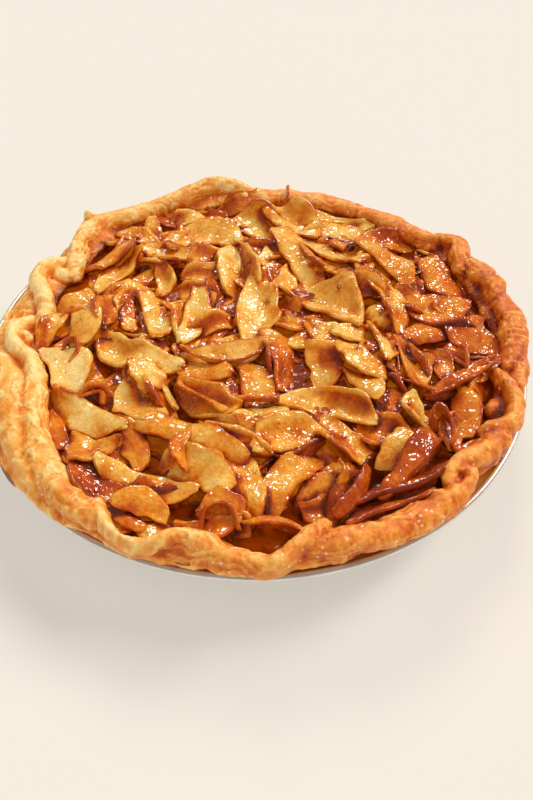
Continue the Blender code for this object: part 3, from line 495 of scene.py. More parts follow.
def tube_rings(places, cap):
    """The rings of a tube along places, rounded off at its ends by more rings at the angles in cap.
    Each comes as the number of its place, how far past that it is and how wide, both as shares of
    the tube's own size there, and its directions along, aside and up."""
    along = np.gradient(places, axis=0)
    along /= np.linalg.norm(along, axis=1)[:, None]
    last = len(places) - 1
    ends = [(math.sin(a), math.cos(a)) for a in cap]
    rings = [(0, -out, share) for out, share in ends]
    rings += [(i, 0.0, 1.0) for i in range(last + 1)]
    rings += [(last, out, share) for out, share in reversed(ends)]
    for i, shift, share in rings:
        side = np.cross(along[i], (0, 0, 1))
        side /= np.linalg.norm(side)
        yield i, shift, share, along[i], side, np.cross(side, along[i])


def between(before, start, end, after, t):
    """A smooth curve through values, read a share t of the way from start to end."""
    return 0.5 * (
        2 * start + (end - before) * t + (2 * before - 5 * start + 4 * end - after) * t**2
        + (3 * start - before - 3 * end + after) * t**3
    )


def spline(rows, step):
    """Rows of numbers read every step millimetres along a curve whose first three are a place."""
    rows = np.array(rows, float)
    padded = np.vstack([2 * rows[0] - rows[1], rows, 2 * rows[-1] - rows[-2]])
    out = []
    for k in range(1, len(padded) - 2):
        p0, p1, p2, p3 = padded[k - 1 : k + 3]
        count = max(1, round(np.linalg.norm((p2 - p1)[:3]) / step))
        for t in np.arange(count) / count:
            out.append(between(p0, p1, p2, p3, t))
    out.append(rows[-1])
    return np.array(out)


# ---------------------------------------------------------------- materials


class Paint:
    """A material whose nodes are made by calls that return sockets."""

    def __init__(self, name):
        self.material = bpy.data.materials.new(name)
        self.material.use_nodes = True
        self.tree = self.material.node_tree
        self.shader = self.tree.nodes["Principled BSDF"]
        self.place = self.tree.nodes.new("ShaderNodeTexCoord").outputs["Object"]

    def put(self, socket, value):
        if isinstance(value, bpy.types.NodeSocket):
            self.tree.links.new(value, socket)
        else:
            socket.default_value = value

    def noise(self, size, detail=3.0, roughness=0.55, offset=0.0):
        """Noise whose features are about size millimetres across."""
        mapping = self.tree.nodes.new("ShaderNodeMapping")
        self.put(mapping.inputs["Vector"], self.place)
        mapping.inputs["Location"].default_value = (offset, offset, offset)
        node = self.tree.nodes.new("ShaderNodeTexNoise")
        self.put(node.inputs["Vector"], mapping.outputs["Vector"])
        node.inputs["Scale"].default_value = 1 / (size * MM)
        node.inputs["Detail"].default_value = detail
        node.inputs["Roughness"].default_value = roughness
        return node.outputs["Fac"]

    def cells(self, size):
        """Distance to the nearest of scattered points, size millimetres apart."""
        node = self.tree.nodes.new("ShaderNodeTexVoronoi")
        self.put(node.inputs["Vector"], self.place)
        node.inputs["Scale"].default_value = 1 / (size * MM)
        return node.outputs["Distance"]

    def attribute(self, name):
        node = self.tree.nodes.new("ShaderNodeAttribute")
        node.attribute_name = name
        return node.outputs["Fac"]

    def ramp(self, value, stops):
        node = self.tree.nodes.new("ShaderNodeValToRGB")
        self.put(node.inputs["Fac"], value)
        elements = node.color_ramp.elements
        while len(elements) < len(stops):
            elements.new(0.5)
        for element, (place, colour) in zip(elements, stops):
            element.position = place
            element.color = colour
        return node.outputs["Color"]

    def mix(self, share, first, second):
        """The first colour, or more of the second the larger the share."""
        node = self.tree.nodes.new("ShaderNodeMix")
        node.data_type = "RGBA"
        for place, value in ((0, share), (6, first), (7, second)):
            self.put(node.inputs[place], value)
        return node.outputs[2]

    def calculate(self, operation, *values):
        node = self.tree.nodes.new("ShaderNodeMath")
        node.operation = operation
        for socket, value in zip(node.inputs, values):
            self.put(socket, value)
        return node.outputs["Value"]

    def add(self, total, *others):
        for other in others:
            total = self.calculate("ADD", total, other)
        return total

    def times(self, first, second):
        return self.calculate("MULTIPLY", first, second)

    def span(self, value, low, high, to_low=0.0, to_high=1.0):
        """The value brought smoothly from one range to another, and kept inside it."""
        node = self.tree.nodes.new("ShaderNodeMapRange")
        node.interpolation_type = "SMOOTHSTEP"
        for name, number in zip(
            ("From Min", "From Max", "To Min", "To Max"), (low, high, to_low, to_high)
        ):
            node.inputs[name].default_value = number
        self.put(node.inputs["Value"], value)
        return node.outputs["Result"]

    def bump(self, height, depth, strength=1.0):
        """A normal from a height from 0 to 1 that stands for depth millimetres."""
        node = self.tree.nodes.new("ShaderNodeBump")
        node.inputs["Strength"].default_value = strength
        node.inputs["Distance"].default_value = depth * MM
        self.put(node.inputs["Height"], height)
        return node.outputs["Normal"]

    def set(self, **inputs):
        for name, value in inputs.items():
            self.put(self.shader.inputs[name.replace("_", " ")], value)
        return self.material


def crust_material():
    """Baked pastry: pale gold to toasted brown, with painted shade and highlight from its relief and its
    side, flakes, freckles and syrup stains.
    """
    paint = Paint("baked_pastry")
    crackle = paint.noise(1.3, 5.0, 0.62, offset=0.7)
    pits = paint.noise(3.2, 3.0, 0.5)
    # The toast attribute holds browning and painted light: painted shade in creases, on the right and low
    # inside, painted highlight on bulges.
    level = paint.add(
        paint.attribute("toast_and_shade"), paint.span(paint.noise(8.0, 3.0), 0.3, 0.7, -0.09, 0.09),
        paint.span(pits, 0.35, 0.65, 0.05, -0.05), paint.span(crackle, 0.35, 0.65, 0.04, -0.04),
    )
    colour = paint.ramp(level, (
        (0.0, srgb(255, 220, 142)), (0.2, srgb(250, 181, 84)), (0.4, srgb(239, 143, 42)),
        (0.6, srgb(216, 104, 12)), (0.8, srgb(172, 60, 3)), (1.0, srgb(100, 28, 2)),
    ))
    freckles = paint.times(
        paint.span(paint.cells(2.8), 0.12, 0.3, 0.65, 0.0),
        paint.span(paint.noise(14.0, 2.0, offset=0.6), 0.5, 0.6),
    )
    colour = paint.mix(freckles, colour, srgb(255, 234, 190))
    stain = paint.attribute("stain")
    colour = paint.mix(stain, colour, srgb(128, 40, 6))
    height = paint.add(pits, paint.times(crackle, 0.3))
    return paint.set(
        Base_Color=colour,
        Roughness=paint.span(stain, 0.0, 0.8, 0.5, 0.16),
        Normal=paint.bump(height, 1.2),
        Subsurface_Weight=0.1,
        Subsurface_Radius=(1.0, 0.5, 0.2),
        Subsurface_Scale=0.0015,
        Coat_Weight=0.15,
        Coat_Roughness=0.28,
    )


def apple_material():
    """Cooked apple: pale amber flesh, browned edges, cinnamon specks, painted shade in the crevices between
    slices and a coat of syrup.
    """
    paint = Paint("glazed_apple")
    patchy = paint.span(paint.noise(9.0, 2.0, offset=0.15), 0.38, 0.58, 0.35, 1.8)
    edge = paint.times(paint.attribute("edge"), patchy)
    blotch = paint.span(paint.noise(10.0, 3.0), 0.3, 0.7, -0.1, 0.1)
    mottle = paint.span(paint.noise(1.8, 4.0, offset=0.2), 0.3, 0.7, -0.06, 0.06)
    # Painted shade: the depth attribute darkens slices where they lie low among the slices round them.
    shade = paint.span(paint.attribute("depth"), 0.0, 1.0, 0.0, 0.52)
    tone = paint.attribute("tone")
    level = paint.add(tone, blotch, mottle, edge)
    darkest = paint.calculate("MAXIMUM", paint.add(tone, 0.14), 0.7)
    level = paint.add(paint.calculate("MINIMUM", level, darkest), shade)
    colour = paint.ramp(level, (
        (0.0, srgb(255, 226, 154)), (0.22, srgb(250, 194, 90)), (0.42, srgb(234, 144, 28)),
        (0.6, srgb(208, 92, 2)), (0.78, srgb(160, 52, 0)), (1.0, srgb(96, 26, 0)),
    ))
    specks = paint.times(
        paint.span(paint.cells(1.7), 0.08, 0.17, 0.85, 0.0),
        paint.span(paint.noise(5.0, 1.0, offset=0.9), 0.42, 0.6),
    )
    colour = paint.mix(specks, colour, srgb(110, 46, 12))
    grain = paint.add(
        paint.times(paint.noise(0.9, 4.0, 0.65), 0.7), paint.noise(3.2, 2.0, offset=0.5)
    )
    swell = paint.noise(3.2, 1.0, 0.4, offset=0.8)
    beads = paint.times(paint.noise(1.5, 0.0, offset=0.3), 0.16)
    wet = paint.bump(paint.add(swell, beads), 1.3)
    return paint.set(
        Base_Color=colour,
        Roughness=0.4,
        Specular_IOR_Level=0.15,
        Normal=paint.bump(grain, 0.8),
        Subsurface_Weight=0.2,
        Subsurface_Radius=(1.0, 0.45, 0.15),
        Subsurface_Scale=0.002,
        Coat_Weight=paint.span(paint.noise(4.5, 3.0, offset=0.4), 0.38, 0.52, 0.15, 1.0),
        Coat_Roughness=0.07,
        Coat_IOR=1.8,
        Coat_Normal=wet,
    )


def syrup_material():
    """Apple syrup, dark where it is deep, that shines only in small glints."""
    paint = Paint("apple_syrup")
    cloudy = paint.span(paint.noise(6.0, 3.0), 0.3, 0.7, -0.15, 0.15)
    colour = paint.ramp(paint.add(paint.attribute("deep"), cloudy), (
        (0.0, srgb(204, 112, 12)), (0.3, srgb(172, 74, 2)), (0.6, srgb(122, 42, 0)),
        (1.0, srgb(64, 18, 0)),
    ))
    wet = paint.bump(paint.noise(4.5, 1.0, 0.4), 0.45)
    return paint.set(
        Base_Color=colour,
        Roughness=0.4,
        Specular_IOR_Level=0.0,
        Normal=wet,
        Coat_Normal=wet,
        Coat_Weight=paint.span(paint.noise(3.0, 2.0, offset=0.4), 0.56, 0.66, 0.06, 1.0),
        Coat_Roughness=0.05,
        Coat_IOR=1.35,
        Subsurface_Weight=0.1,
        Subsurface_Radius=(1.0, 0.3, 0.1),
        Subsurface_Scale=0.002,
    )


def foil_material():
    """Thin aluminium foil, bright, with fine scuffs, and by the pastry a golden film that is partly grease
    and partly a painted reflection of the pastry.
    """
    paint = Paint("pan_foil")
    scuffs = paint.noise(0.8, 4.0, 0.6)
    bare = paint.ramp(
        paint.noise(14.0, 3.0), ((0.3, srgb(230, 228, 224)), (0.7, srgb(246, 245, 242)))
    )
    # Golden film by the pastry: partly grease, partly a painted reflection of the pastry in the flange.
    grease_and_reflection = paint.attribute("grease_and_reflection")
    return paint.set(
        Base_Color=paint.mix(grease_and_reflection, bare, srgb(226, 158, 66)),
        Metallic=paint.span(grease_and_reflection, 0.0, 1.0, 0.85, 0.25),
        Roughness=paint.span(scuffs, 0.3, 0.7, 0.32, 0.46),
        Normal=paint.bump(paint.noise(4.0, 3.0, offset=0.5), 0.12, 0.6),
    )


def floor_material():
    """A pale table lit a little from below, so that shadows on it stay soft."""
    return Paint("studio_floor").set(
        Base_Color=srgb(184, 179, 172),
        Roughness=0.9,
        Specular_IOR_Level=0.1,
        Emission_Color=(1.0, 0.94, 0.86, 1.0),
        Emission_Strength=0.35,
    )


# ---------------------------------------------------------------- pan


def pan_profile():
    """The pan's outline: radius, height and how much of the crimps' depth each point has."""
    bead_mid, bead_z = PAN_RIM_R - BEAD_R, PAN_DEPTH - BEAD_R
    flare, under = PAN_TOP_R + PAN_WALL - PAN_BOTTOM_R, FLANGE_Z - PAN_WALL
    profile = [(AXIS_R, 0, 0), (40, 0, 0), (84, 0, 0), (88.6, 0.1, 0), (PAN_BOTTOM_R + 0.6, 1.2, 0.4)]
    for share in np.linspace(0.1, 0.97, 6):
        profile.append((PAN_BOTTOM_R + flare * share, under * share, 1))
    profile += [(112.6, under, 0.4), (116, under, FLANGE_FLUTED)]
    for turn in map(math.radians, np.linspace(205, 515, 12)):
        around = bead_mid + BEAD_R * math.cos(turn), bead_z + BEAD_R * math.sin(turn)
        profile.append((*around, BEAD_FLUTED))
    return profile + [
        (bead_mid - BEAD_R - 0.2, FLANGE_Z, FLANGE_FLUTED), (115, FLANGE_Z, FLANGE_FLUTED),
        (PAN_TOP_R, FLANGE_Z - 0.3, 0.5), (PAN_TOP_R - 10, 15.5, 0.5),
        (PAN_BOTTOM_R - PAN_WALL, PAN_WALL, 0), (AXIS_R, PAN_WALL, 0),
    ]


def make_pan():
    """The pan, crimped round its side, with a bead that is dented a little."""
    steps = PAN_FLUTES * STEPS_PER_FLUTE
    turn = round_steps(steps)
    wander = Noise(3)
    circle = turned(9, turn, 0)
    flutes = np.sin(turn * PAN_FLUTES + 0.9 * wander(circle, 1.0))
    flutes *= 0.75 + 0.5 * wander(circle + 5, 0.8)
    crush = wander(circle + 11, 2.0)
    rings = []
    for radius, height, fluted in pan_profile():
        out = radius + FLUTE_DEPTH * fluted * (flutes - 1) * (radius > PAN_BOTTOM_R)
        out = out - 0.25 * (fluted == BEAD_FLUTED) * np.abs(crush)
        sag = 0.12 * (fluted in (BEAD_FLUTED, FLANGE_FLUTED)) * (crush - 1)
        rings.append(turned(out, turn, height + sag))
    points = np.stack(rings, 1).reshape(-1, 3)
    shape = Shape()
    shape.add(points, ring_faces(steps, len(rings)))
    made = shape.object("foil_pan")
    radius = np.hypot(points[:, 0], points[:, 1]) + 0.8 * wander(points, 7.0)
    above = points[:, 2] > FLANGE_Z - 0.5
    # Golden film by the pastry: partly grease, partly painted reflection.
    set_attribute(made.data, "grease_and_reflection", smoothstep(121.3, 119.5, radius) * above)
    return made


# ---------------------------------------------------------------- pastry


def round_the_rim(table, angles, column):
    """A smooth closed curve through one column of a table of rows that start with an angle."""
    knots = np.array([row[0] for row in table], float)
    values = np.array([row[column] for row in table], float)
    knots = np.concatenate([knots[-2:] - 360, knots, knots[:2] + 360])
    values = np.concatenate([values[-2:], values, values[:2]])
    angles = np.asarray(angles, float) % 360
    k = np.clip(np.searchsorted(knots, angles, side="right") - 1, 1, len(knots) - 3)
    t = (angles - knots[k]) / (knots[k + 1] - knots[k])
    return between(*(values[k + i] for i in (-1, 0, 1, 2)), t)


def add_bank(shape, steps=360):
    """The bank of pastry that lies on the pan's flange and over its bead."""
    angles = 360 * np.arange(steps) / steps
    inner, crest_r, crest_z, edge = (round_the_rim(RIM_BANK, angles, k) for k in (1, 2, 3, 4))
    crest_z = crest_z - BANK_BELOW_FOLDS
    fall = edge - crest_r
    section = (
        (np.minimum(inner, 106), 27.0), (108.6, 27.0), (110.4, 28.9), (117.5, 28.9), (118.4, 30.5),
        (edge - 1.2, 30.5), (edge, 31.8), (edge, 33.4), (crest_r + 0.75 * fall, crest_z - 2.0),
        (crest_r + 0.3 * fall, crest_z), (crest_r * 0.6 + inner * 0.4, crest_z - 0.3),
        (inner, crest_z - 3.5),
    )
    turn = np.radians(angles)
    points = np.stack([turned(radius, turn, height) for radius, height in section], 1)
    shape.add(points.reshape(-1, 3), ring_faces(steps, len(section)))


def add_roll(shape, rows, sides=16):
    """A roll of pastry: an oval tube along a curve, rounded off at both ends."""
    placed = [
        (r * math.cos(math.radians(a)), r * math.sin(math.radians(a)), *rest) for a, r, *rest in rows
    ]
    path = spline(placed, 2.0)
    places, half_w, half_h = path[:, :3], path[:, 3], path[:, 4]
    turns = round_steps(sides)
    rings = []
    for i, shift, share, along, side, up in tube_rings(places, ROLL_CAP):
        middle = places[i] + along * shift * half_w[i]
        rings.append(
            middle + share * half_w[i] * np.cos(turns)[:, None] * side
            + share * half_h[i] * np.sin(turns)[:, None] * up
        )
    shape.add(np.concatenate(rings), tube_faces(len(rings), sides))


def add_flap(shape, row, across=20, along=12):
    """A lump of pastry on the rim: an ellipsoid whose long side runs round the rim."""
    angle, radius, height, half_round, half_deep, half_high = row
    turn = math.radians(angle)
    outward = np.array((math.cos(turn), math.sin(turn), 0.0))
    sideways = np.array((-math.sin(turn), math.cos(turn), 0.0))
    middle = outward * radius + np.array((0.0, 0.0, height))
    bearings = round_steps(across)
    rings = []
    for tilt in np.linspace(-1.5, 1.5, along):
        ring = (
            np.outer(np.cos(bearings) * math.cos(tilt) * half_deep, outward)
            + np.outer(np.sin(bearings) * math.cos(tilt) * half_round, sideways)
        )
        rings.append(middle + ring + np.array((0, 0, half_high * math.sin(tilt))))
    faces = [tuple(reversed(face)) for face in tube_faces(along, across)]
    shape.add(np.concatenate(rings), faces)


def remeshed(made, size):
    """The object's mesh as one even skin with faces size millimetres across."""
    modifier = made.modifiers.new("remesh", "REMESH")
    modifier.mode = "VOXEL"
    modifier.voxel_size = size * MM
    graph = bpy.context.evaluated_depsgraph_get()
    mesh = bpy.data.meshes.new_from_object(made.evaluated_get(graph))
    made.modifiers.clear()
    made.data = mesh
    mesh.shade_smooth()


def edge_ends(mesh):
    ends = np.zeros(len(mesh.edges) * 2, np.int64)
    mesh.edges.foreach_get("vertices", ends)
    return ends.reshape(-1, 2)


def relaxed(points, ends, rounds, share=0.5):
    """Points moved towards the mean of their neighbours."""
    count = np.bincount(ends.ravel(), minlength=len(points))[:, None]
    for _ in range(rounds):
        total = np.zeros_like(points)
        for a, b in ((0, 1), (1, 0)):
            for axis in range(3):
                total[:, axis] += np.bincount(
                    ends[:, a], weights=points[ends[:, b], axis], minlength=len(points)
                )
        points = points + share * (total / count - points)
    return points


def pastry_relief(points, normals):
    """How far the pastry's skin stands out, in millimetres: lumps, creases, flakes, blisters."""
    lumps, creases, flakes, spots = Noise(21), Noise(22), Noise(23), Noise(24)
    angle, radius = polar(points)
    unrolled = np.stack([angle * 1.95, radius * 0.35 + points[:, 2] * 0.35, 0 * angle], 1)
    relief = 0.9 * lumps(points, 8.0) + 0.5 * lumps(points + 40, 4.0)
    ridges = 1 - np.abs(creases(unrolled, 3.6) + 0.35 * lumps(points, 3.0))
    relief += 0.5 * ridges**3 * smoothstep(-0.2, 0.4, lumps(points + 90, 14.0)) - 0.2
    layer = points[:, 2] / 2.6 + 0.12 * radius
    layer = layer + 1.3 * lumps(points + 60, 9.0) + 0.5 * flakes(points, 3.5)
    step = layer - np.floor(layer)
    relief += 0.55 * (step - 0.5) * smoothstep(0.0, 0.3, flakes(points + 20, 11.0))
    relief += 0.12 * flakes(points, 1.9)
    blister = smoothstep(0.5, 0.85, spots(points, 2.8))
    blister *= smoothstep(-0.2, 0.4, lumps(points + 10, 20.0))
    bubble = smoothstep(0.3, 0.8, spots(points + 70, 5.2))
    bubble *= smoothstep(-0.4, 0.2, lumps(points + 30, 22.0))
    relief += (0.45 * blister + 0.8 * bubble) * np.clip(normals[:, 2] + 0.7, 0, 1)
    puckers = np.sin(2 * math.pi * (angle * 1.95 + 2.6 * lumps(points + 80, 6.0)) / 2.7)
    return relief + 0.1 * puckers * smoothstep(0.1, 0.6, lumps(points + 50, 12.0))


def toast_and_shade_of(points, bulge):
    """How dark the pastry is, from 0 to 1: browned in patches, with a painted highlight where it bulges,
    painted shade in its creases and low on its inner side, and darker on the right, partly browning and
    partly painted shade.
    """
    patches = Noise(31)
    angle, radius = polar(points)
    crest = round_the_rim(RIM_BANK, angle, 2)
    # Darker on the right: partly browning, partly painted shade of the right side.
    facing_right = np.cos(np.radians(angle + 12))
    toast_and_shade = 0.44 + 0.19 * facing_right + 0.12 * patches(points, 16.0)
    # Painted highlight and shade: paler on bulges, darker in creases.
    toast_and_shade -= 0.32 * np.clip(bulge, -0.95, 0.95)
    # Painted shade low on the inner side, in the recess by the filling.
    inner = smoothstep(1.0, -6.0, radius - crest)
    toast_and_shade += 0.2 * inner * smoothstep(41, 36, points[:, 2])
    drip = smoothstep(9, 5, np.hypot(points[:, 0] - DRIP_X, points[:, 1] - DRIP_Y))
    return np.clip(toast_and_shade + 0.8 * drip * (points[:, 2] < DRIP_TOP), 0, 1)


def stain_of(points):
    """How much syrup has soaked into the pastry, from 0 to 1, above the filling's edge."""
    angle, radius = polar(points)
    crest = round_the_rim(RIM_BANK, angle, 2)
    wander = 1.6 * Noise(33)(points, 9.0) + 0.8 * Noise(34)(points, 3.0)
    return smoothstep(37.6, 34.6, points[:, 2] + wander) * (radius < crest)


def add_lining(shape):
    """The plain pastry under the filling, as a closed outline turned round."""
    low = PAN_WALL + GAP
    outline = (
        (AXIS_R, low), (PAN_BOTTOM_R - PAN_WALL - 2 * GAP, low), (108.0, 26.5), (104.0, 28.5),
        (PAN_BOTTOM_R - CASE_WALL - 1.5, low + CASE_FLOOR), (AXIS_R, low + CASE_FLOOR),
    )
    turn = round_steps(LINING_STEPS)
    points = np.stack([turned(radius, turn, height) for radius, height in outline], 1)
    shape.add(points.reshape(-1, 3), ring_faces(LINING_STEPS, len(outline)))


def make_rim():
    """The bank, folds and lumps as one even skin, before its relief."""
    shape = Shape()
    add_bank(shape)
    for rows in RIM_ROLLS.values():
        add_roll(shape, rows)
    for row in RIM_FLAPS:
        add_flap(shape, row)
    made = shape.object("rim")
    remeshed(made, RIM_VOXEL)
    return made


def give_relief(mesh):
    """Adds the pastry's relief. Returns the points, and how much each of them bulges out."""
    ends = edge_ends(mesh)
    points = relaxed(read_points(mesh), ends, 2)
    write_points(mesh, points)
    normals = read_normals(mesh)
    points = points + normals * pastry_relief(points, normals)[:, None]
    points = relaxed(points, ends, 1, 0.2)
    reach = np.hypot(points[:, 0], points[:, 1])
    points[:, :2] *= np.minimum(1, CRUST_REACH / reach)[:, None]
    write_points(mesh, points)
    normals = read_normals(mesh)
    fine, broad = (np.sum((points - relaxed(points, ends, n)) * normals, 1) for n in (8, 50))
    return points, 1.7 * fine + 0.6 * broad


def make_crust():
    """The pastry case: its rim, and the lining that joins it under the filling."""
    rim = make_rim()
    points, bulge = give_relief(rim.data)
    faces = np.zeros(len(rim.data.polygons) * 4, np.int64)
    rim.data.polygons.foreach_get("vertices", faces)
    bpy.data.objects.remove(rim)
    shape = Shape()
    shape.add(points, faces.reshape(-1, 4).tolist())
    add_lining(shape)
    made = shape.object("pastry_case")
    extra = shape.count - len(points)
    # Browning with painted shade and highlight, for the crust's colour.
    toast_and_shade = np.concatenate([toast_and_shade_of(points, bulge), np.full(extra, LINING_TOAST)])
    set_attribute(made.data, "toast_and_shade", toast_and_shade)
    set_attribute(made.data, "stain", np.concatenate([stain_of(points), np.zeros(extra)]))
    return made


# ---------------------------------------------------------------- filling


def syrup_z(radius):
    """Height of the syrup at a distance from the middle."""
    share = np.clip(np.asarray(radius) / HEAP_R, 0, 1)
    return SYRUP_MID_Z + (SYRUP_EDGE_Z - SYRUP_MID_Z) * share**2


def empty_heap():
    """A height map with cells of 1 mm, for slices to be laid on one after another."""
    side = np.arange(-MAP_HALF, MAP_HALF + 1, dtype=float)
    x, y = np.meshgrid(side, side, indexing="ij")
    return syrup_z(np.hypot(x, y)) - 1.5


def read_map(heights, x, y):
    """A height map read between its cells."""
    gx = np.clip(np.asarray(x) + MAP_HALF, 0, 2 * MAP_HALF - 1.001)
    gy = np.clip(np.asarray(y) + MAP_HALF, 0, 2 * MAP_HALF - 1.001)
    i, j = gx.astype(int), gy.astype(int)
    u, v = gx - i, gy - j
    return (
        heights[i, j] * (1 - u) * (1 - v) + heights[i + 1, j] * u * (1 - v)
        + heights[i, j + 1] * (1 - u) * v + heights[i + 1, j + 1] * u * v
    )


def raise_map(heights, x, y, z):
    """Brings a height map up to points."""
    i = np.clip(np.rint(x + MAP_HALF).astype(int), 0, 2 * MAP_HALF)
    j = np.clip(np.rint(y + MAP_HALF).astype(int), 0, 2 * MAP_HALF)
    np.maximum.at(heights, (i, j), z)


def blurred(heights, spread):
    """A height map blurred by a bell curve."""
    offsets = np.arange(-int(2 * spread), int(2 * spread) + 1)
    weights = np.exp(-((offsets / spread) ** 2) / 2)
    weights /= weights.sum()
    for axis in (0, 1):
        heights = sum(w * np.roll(heights, k, axis) for w, k in zip(weights, offsets))
    return heights


def widened(heights, reach, pick):
    """A height map with each cell the highest or lowest within a square round it."""
    for axis in (0, 1):
        heights = pick.reduce([np.roll(heights, k, axis) for k in range(-reach, reach + 1)])
    return heights


def settled_height(heights):
    """Heights with those over HEAP_TOP pressed down, as the heap sinks under its own weight."""
    over = np.maximum(heights - HEAP_TOP, 0)
    return heights - over + HEAP_ROOM * (1 - np.exp(-over / HEAP_ROOM))


class Slice:
    """One apple slice: a bent leaf with blunt ends and rounded edges. Along it u goes from -1 to 1,
    and across it v does."""

    def __init__(self, row, rng, steps):
        self.x, self.y, heading, self.length, self.left, self.right, tilt, pitch, self.tone = row
        turn = math.radians(heading)
        self.ahead = (math.cos(turn), math.sin(turn))
        self.aside = (-math.sin(turn), math.cos(turn))
        self.tilt = math.radians(TILT_GAIN * tilt + rng.normal(0, 5))
        self.pitch = math.radians(pitch + rng.normal(0, 3))
        self.thick = rng.uniform(1.7, 2.7)
        # How wide its ends are, how full its middle, and how browned its edges.
        self.blunt = np.where(
            rng.random(2) < 0.35, rng.uniform(0.25, 0.55, 2), rng.uniform(0.02, 0.12, 2)
        )
        self.plump = rng.uniform(0.55, 0.85)
        self.browned = rng.uniform(-0.1, 0.34) + 0.1 * self.tone
        # How it bows to a side, curls up at its sides and its ends, twists, and ruffles at its edges.
        bows_left = self.left > self.right or (self.left == self.right and rng.random() < 0.5)
        self.bow = (1 if bows_left else -1) * rng.uniform(0.2, 1.0) * min(self.left, self.right)
        self.cup = rng.uniform(-0.25, 0.5)
        self.bend = rng.uniform(-0.12, 0.08) * self.length
        self.twist = rng.uniform(-0.38, 0.38)
        self.ruffle = rng.uniform(1.2, 3.2)
        self.ripple = Noise(int(rng.integers(1 << 30)))
        self.steps = steps

    def middle(self, u, v):
        """Places on the slice's middle surface, before it settles: x, y and height."""
        belly = np.clip(1 - np.abs(u) ** 2.3, 0, 1) ** self.plump
        blunt = np.where(u < 0, self.blunt[0], self.blunt[1])
        sides = np.stack([u * 2.6, np.sign(v) * 7, 0 * v], -1).reshape(-1, 3)
        rough = 1 + 0.2 * self.ripple(sides, 0.8).reshape(u.shape)
        width = np.where(v >= 0, self.left, self.right) * (blunt + (1 - blunt) * belly) * rough
        along = u * self.length / 2
        across = v * width + self.bow * (1 - u**2) - self.bow * 0.5
        half = (self.left + self.right) / 2
        spots = np.stack([along, across, 0 * u], -1).reshape(-1, 3)
        rise = self.cup * across**2 / half + self.bend * u**2
        rise = rise + 0.6 * self.ripple(spots, 6.0).reshape(u.shape)
        rise = rise + self.ruffle * v**2 * self.ripple(spots + 30, 9.0).reshape(u.shape)
        angle = self.tilt + self.twist * u
        side = across * np.cos(angle) - rise * np.sin(angle)
        height = across * np.sin(angle) + rise * np.cos(angle) + along * math.sin(self.pitch)
        forward = along * math.cos(self.pitch)
        return (
            self.x + self.ahead[0] * forward + self.aside[0] * side,
            self.y + self.ahead[1] * forward + self.aside[1] * side,
            height,
        )

    def settle(self, heap, clear):
        """Lays the slice on the heap, clear of that percentage of it, and adds it to the heap."""
        u, v = np.meshgrid(np.linspace(-0.95, 0.95, 15), np.linspace(-0.95, 0.95, 7), indexing="ij")
        x, y, height = self.middle(u, v)
        under = read_map(heap, x, y)
        terms = np.stack([np.ones(u.size), x.ravel() - self.x, y.ravel() - self.y], 1)
        self.plane = np.linalg.lstsq(terms, under.ravel(), rcond=None)[0]
        self.soft = blurred(heap, 3.0)
        lying = self.resting(x, y) + height - self.thick / 2
        self.lift = np.percentile(under - lying, clear)
        u, v = np.meshgrid(np.linspace(-0.97, 0.97, 64), np.linspace(-0.97, 0.97, 26), indexing="ij")
        x, y, height = np.moveaxis(self.surface(u, v), -1, 0)
        raise_map(heap, x, y, height + self.thick / 2)

    def resting(self, x, y):
        """Heights of what the slice lies on: a plane, bent towards the heap's own form."""
        plane = self.plane[0] + self.plane[1] * (x - self.x) + self.plane[2] * (y - self.y)
        return plane + DRAPE * (read_map(self.soft, x, y) - plane)

    def surface(self, u, v):
        """Points of the slice's middle surface where it lies."""
        x, y, height = self.middle(u, v)
        return np.stack([x, y, self.resting(x, y) + height + self.lift], -1)

    def skin(self):
        """Points, faces, and how near each point is to the slice's edge."""
        steps_u, steps_v = self.steps
        us = np.sin(np.linspace(-math.pi / 2, math.pi / 2, steps_u + 1))
        vs = np.sin(np.linspace(-math.pi / 2, math.pi / 2, steps_v + 1))
        u, v = np.meshgrid(us, vs, indexing="ij")
        middle = self.surface(u, v)
        normal = np.cross(np.gradient(middle, axis=0), np.gradient(middle, axis=1))
        normal /= np.maximum(np.linalg.norm(normal, axis=-1, keepdims=True), 1e-9)
        outermost = np.maximum(np.abs(u), np.abs(v)) > 0.999
        half = self.thick / 2 * np.where(outermost, 0.7, 1.0)[..., None]
        inward = np.minimum(
            (1 - np.abs(u)) * self.length / 2, (1 - np.abs(v)) * (self.left + self.right) / 2
        )
        near = (1 - np.clip(inward / EDGE_WIDTH, 0, 1)).ravel()
        faces, rim = slab_faces(steps_u, steps_v)
        points = np.concatenate([
            (middle + normal * half).reshape(-1, 3), (middle - normal * half).reshape(-1, 3),
            self.rim_points(middle.reshape(-1, 3)[rim]),
        ])
        return points, faces, np.concatenate([near, near, np.ones(len(rim))])

    def rim_points(self, ring):
        """The edge of the slice, halfway through its thickness, which stands out a little."""
        centre = self.surface(np.zeros((1, 1)), np.zeros((1, 1))).reshape(3)
        outward = ring - centre
        outward /= np.maximum(np.linalg.norm(outward, axis=1, keepdims=True), 1e-9)
        return ring + 0.12 * self.thick * outward


def slab_faces(steps_u, steps_v):
    """Faces of a slab, and the rim's places in its grid. Its upper grid of points comes first,
    then its lower one, then a ring halfway down the rim."""
    row = steps_v + 1
    below = (steps_u + 1) * row
    faces = []
    for i in range(steps_u):
        for j in range(steps_v):
            a, b, c, d = i * row + j, (i + 1) * row + j, (i + 1) * row + j + 1, i * row + j + 1
            faces += [(a, b, c, d), (below + a, below + d, below + c, below + b)]
    rim = [i * row for i in range(steps_u)] + [steps_u * row + j for j in range(steps_v)]
    rim += [i * row + steps_v for i in range(steps_u, 0, -1)] + list(range(steps_v, 0, -1))
    for k, (a, b) in enumerate(zip(rim, rim[1:] + rim[:1])):
        c, d = 2 * below + k, 2 * below + (k + 1) % len(rim)
        faces += [(a, c, d, b), (c, below + a, below + b, d)]
    return faces, rim


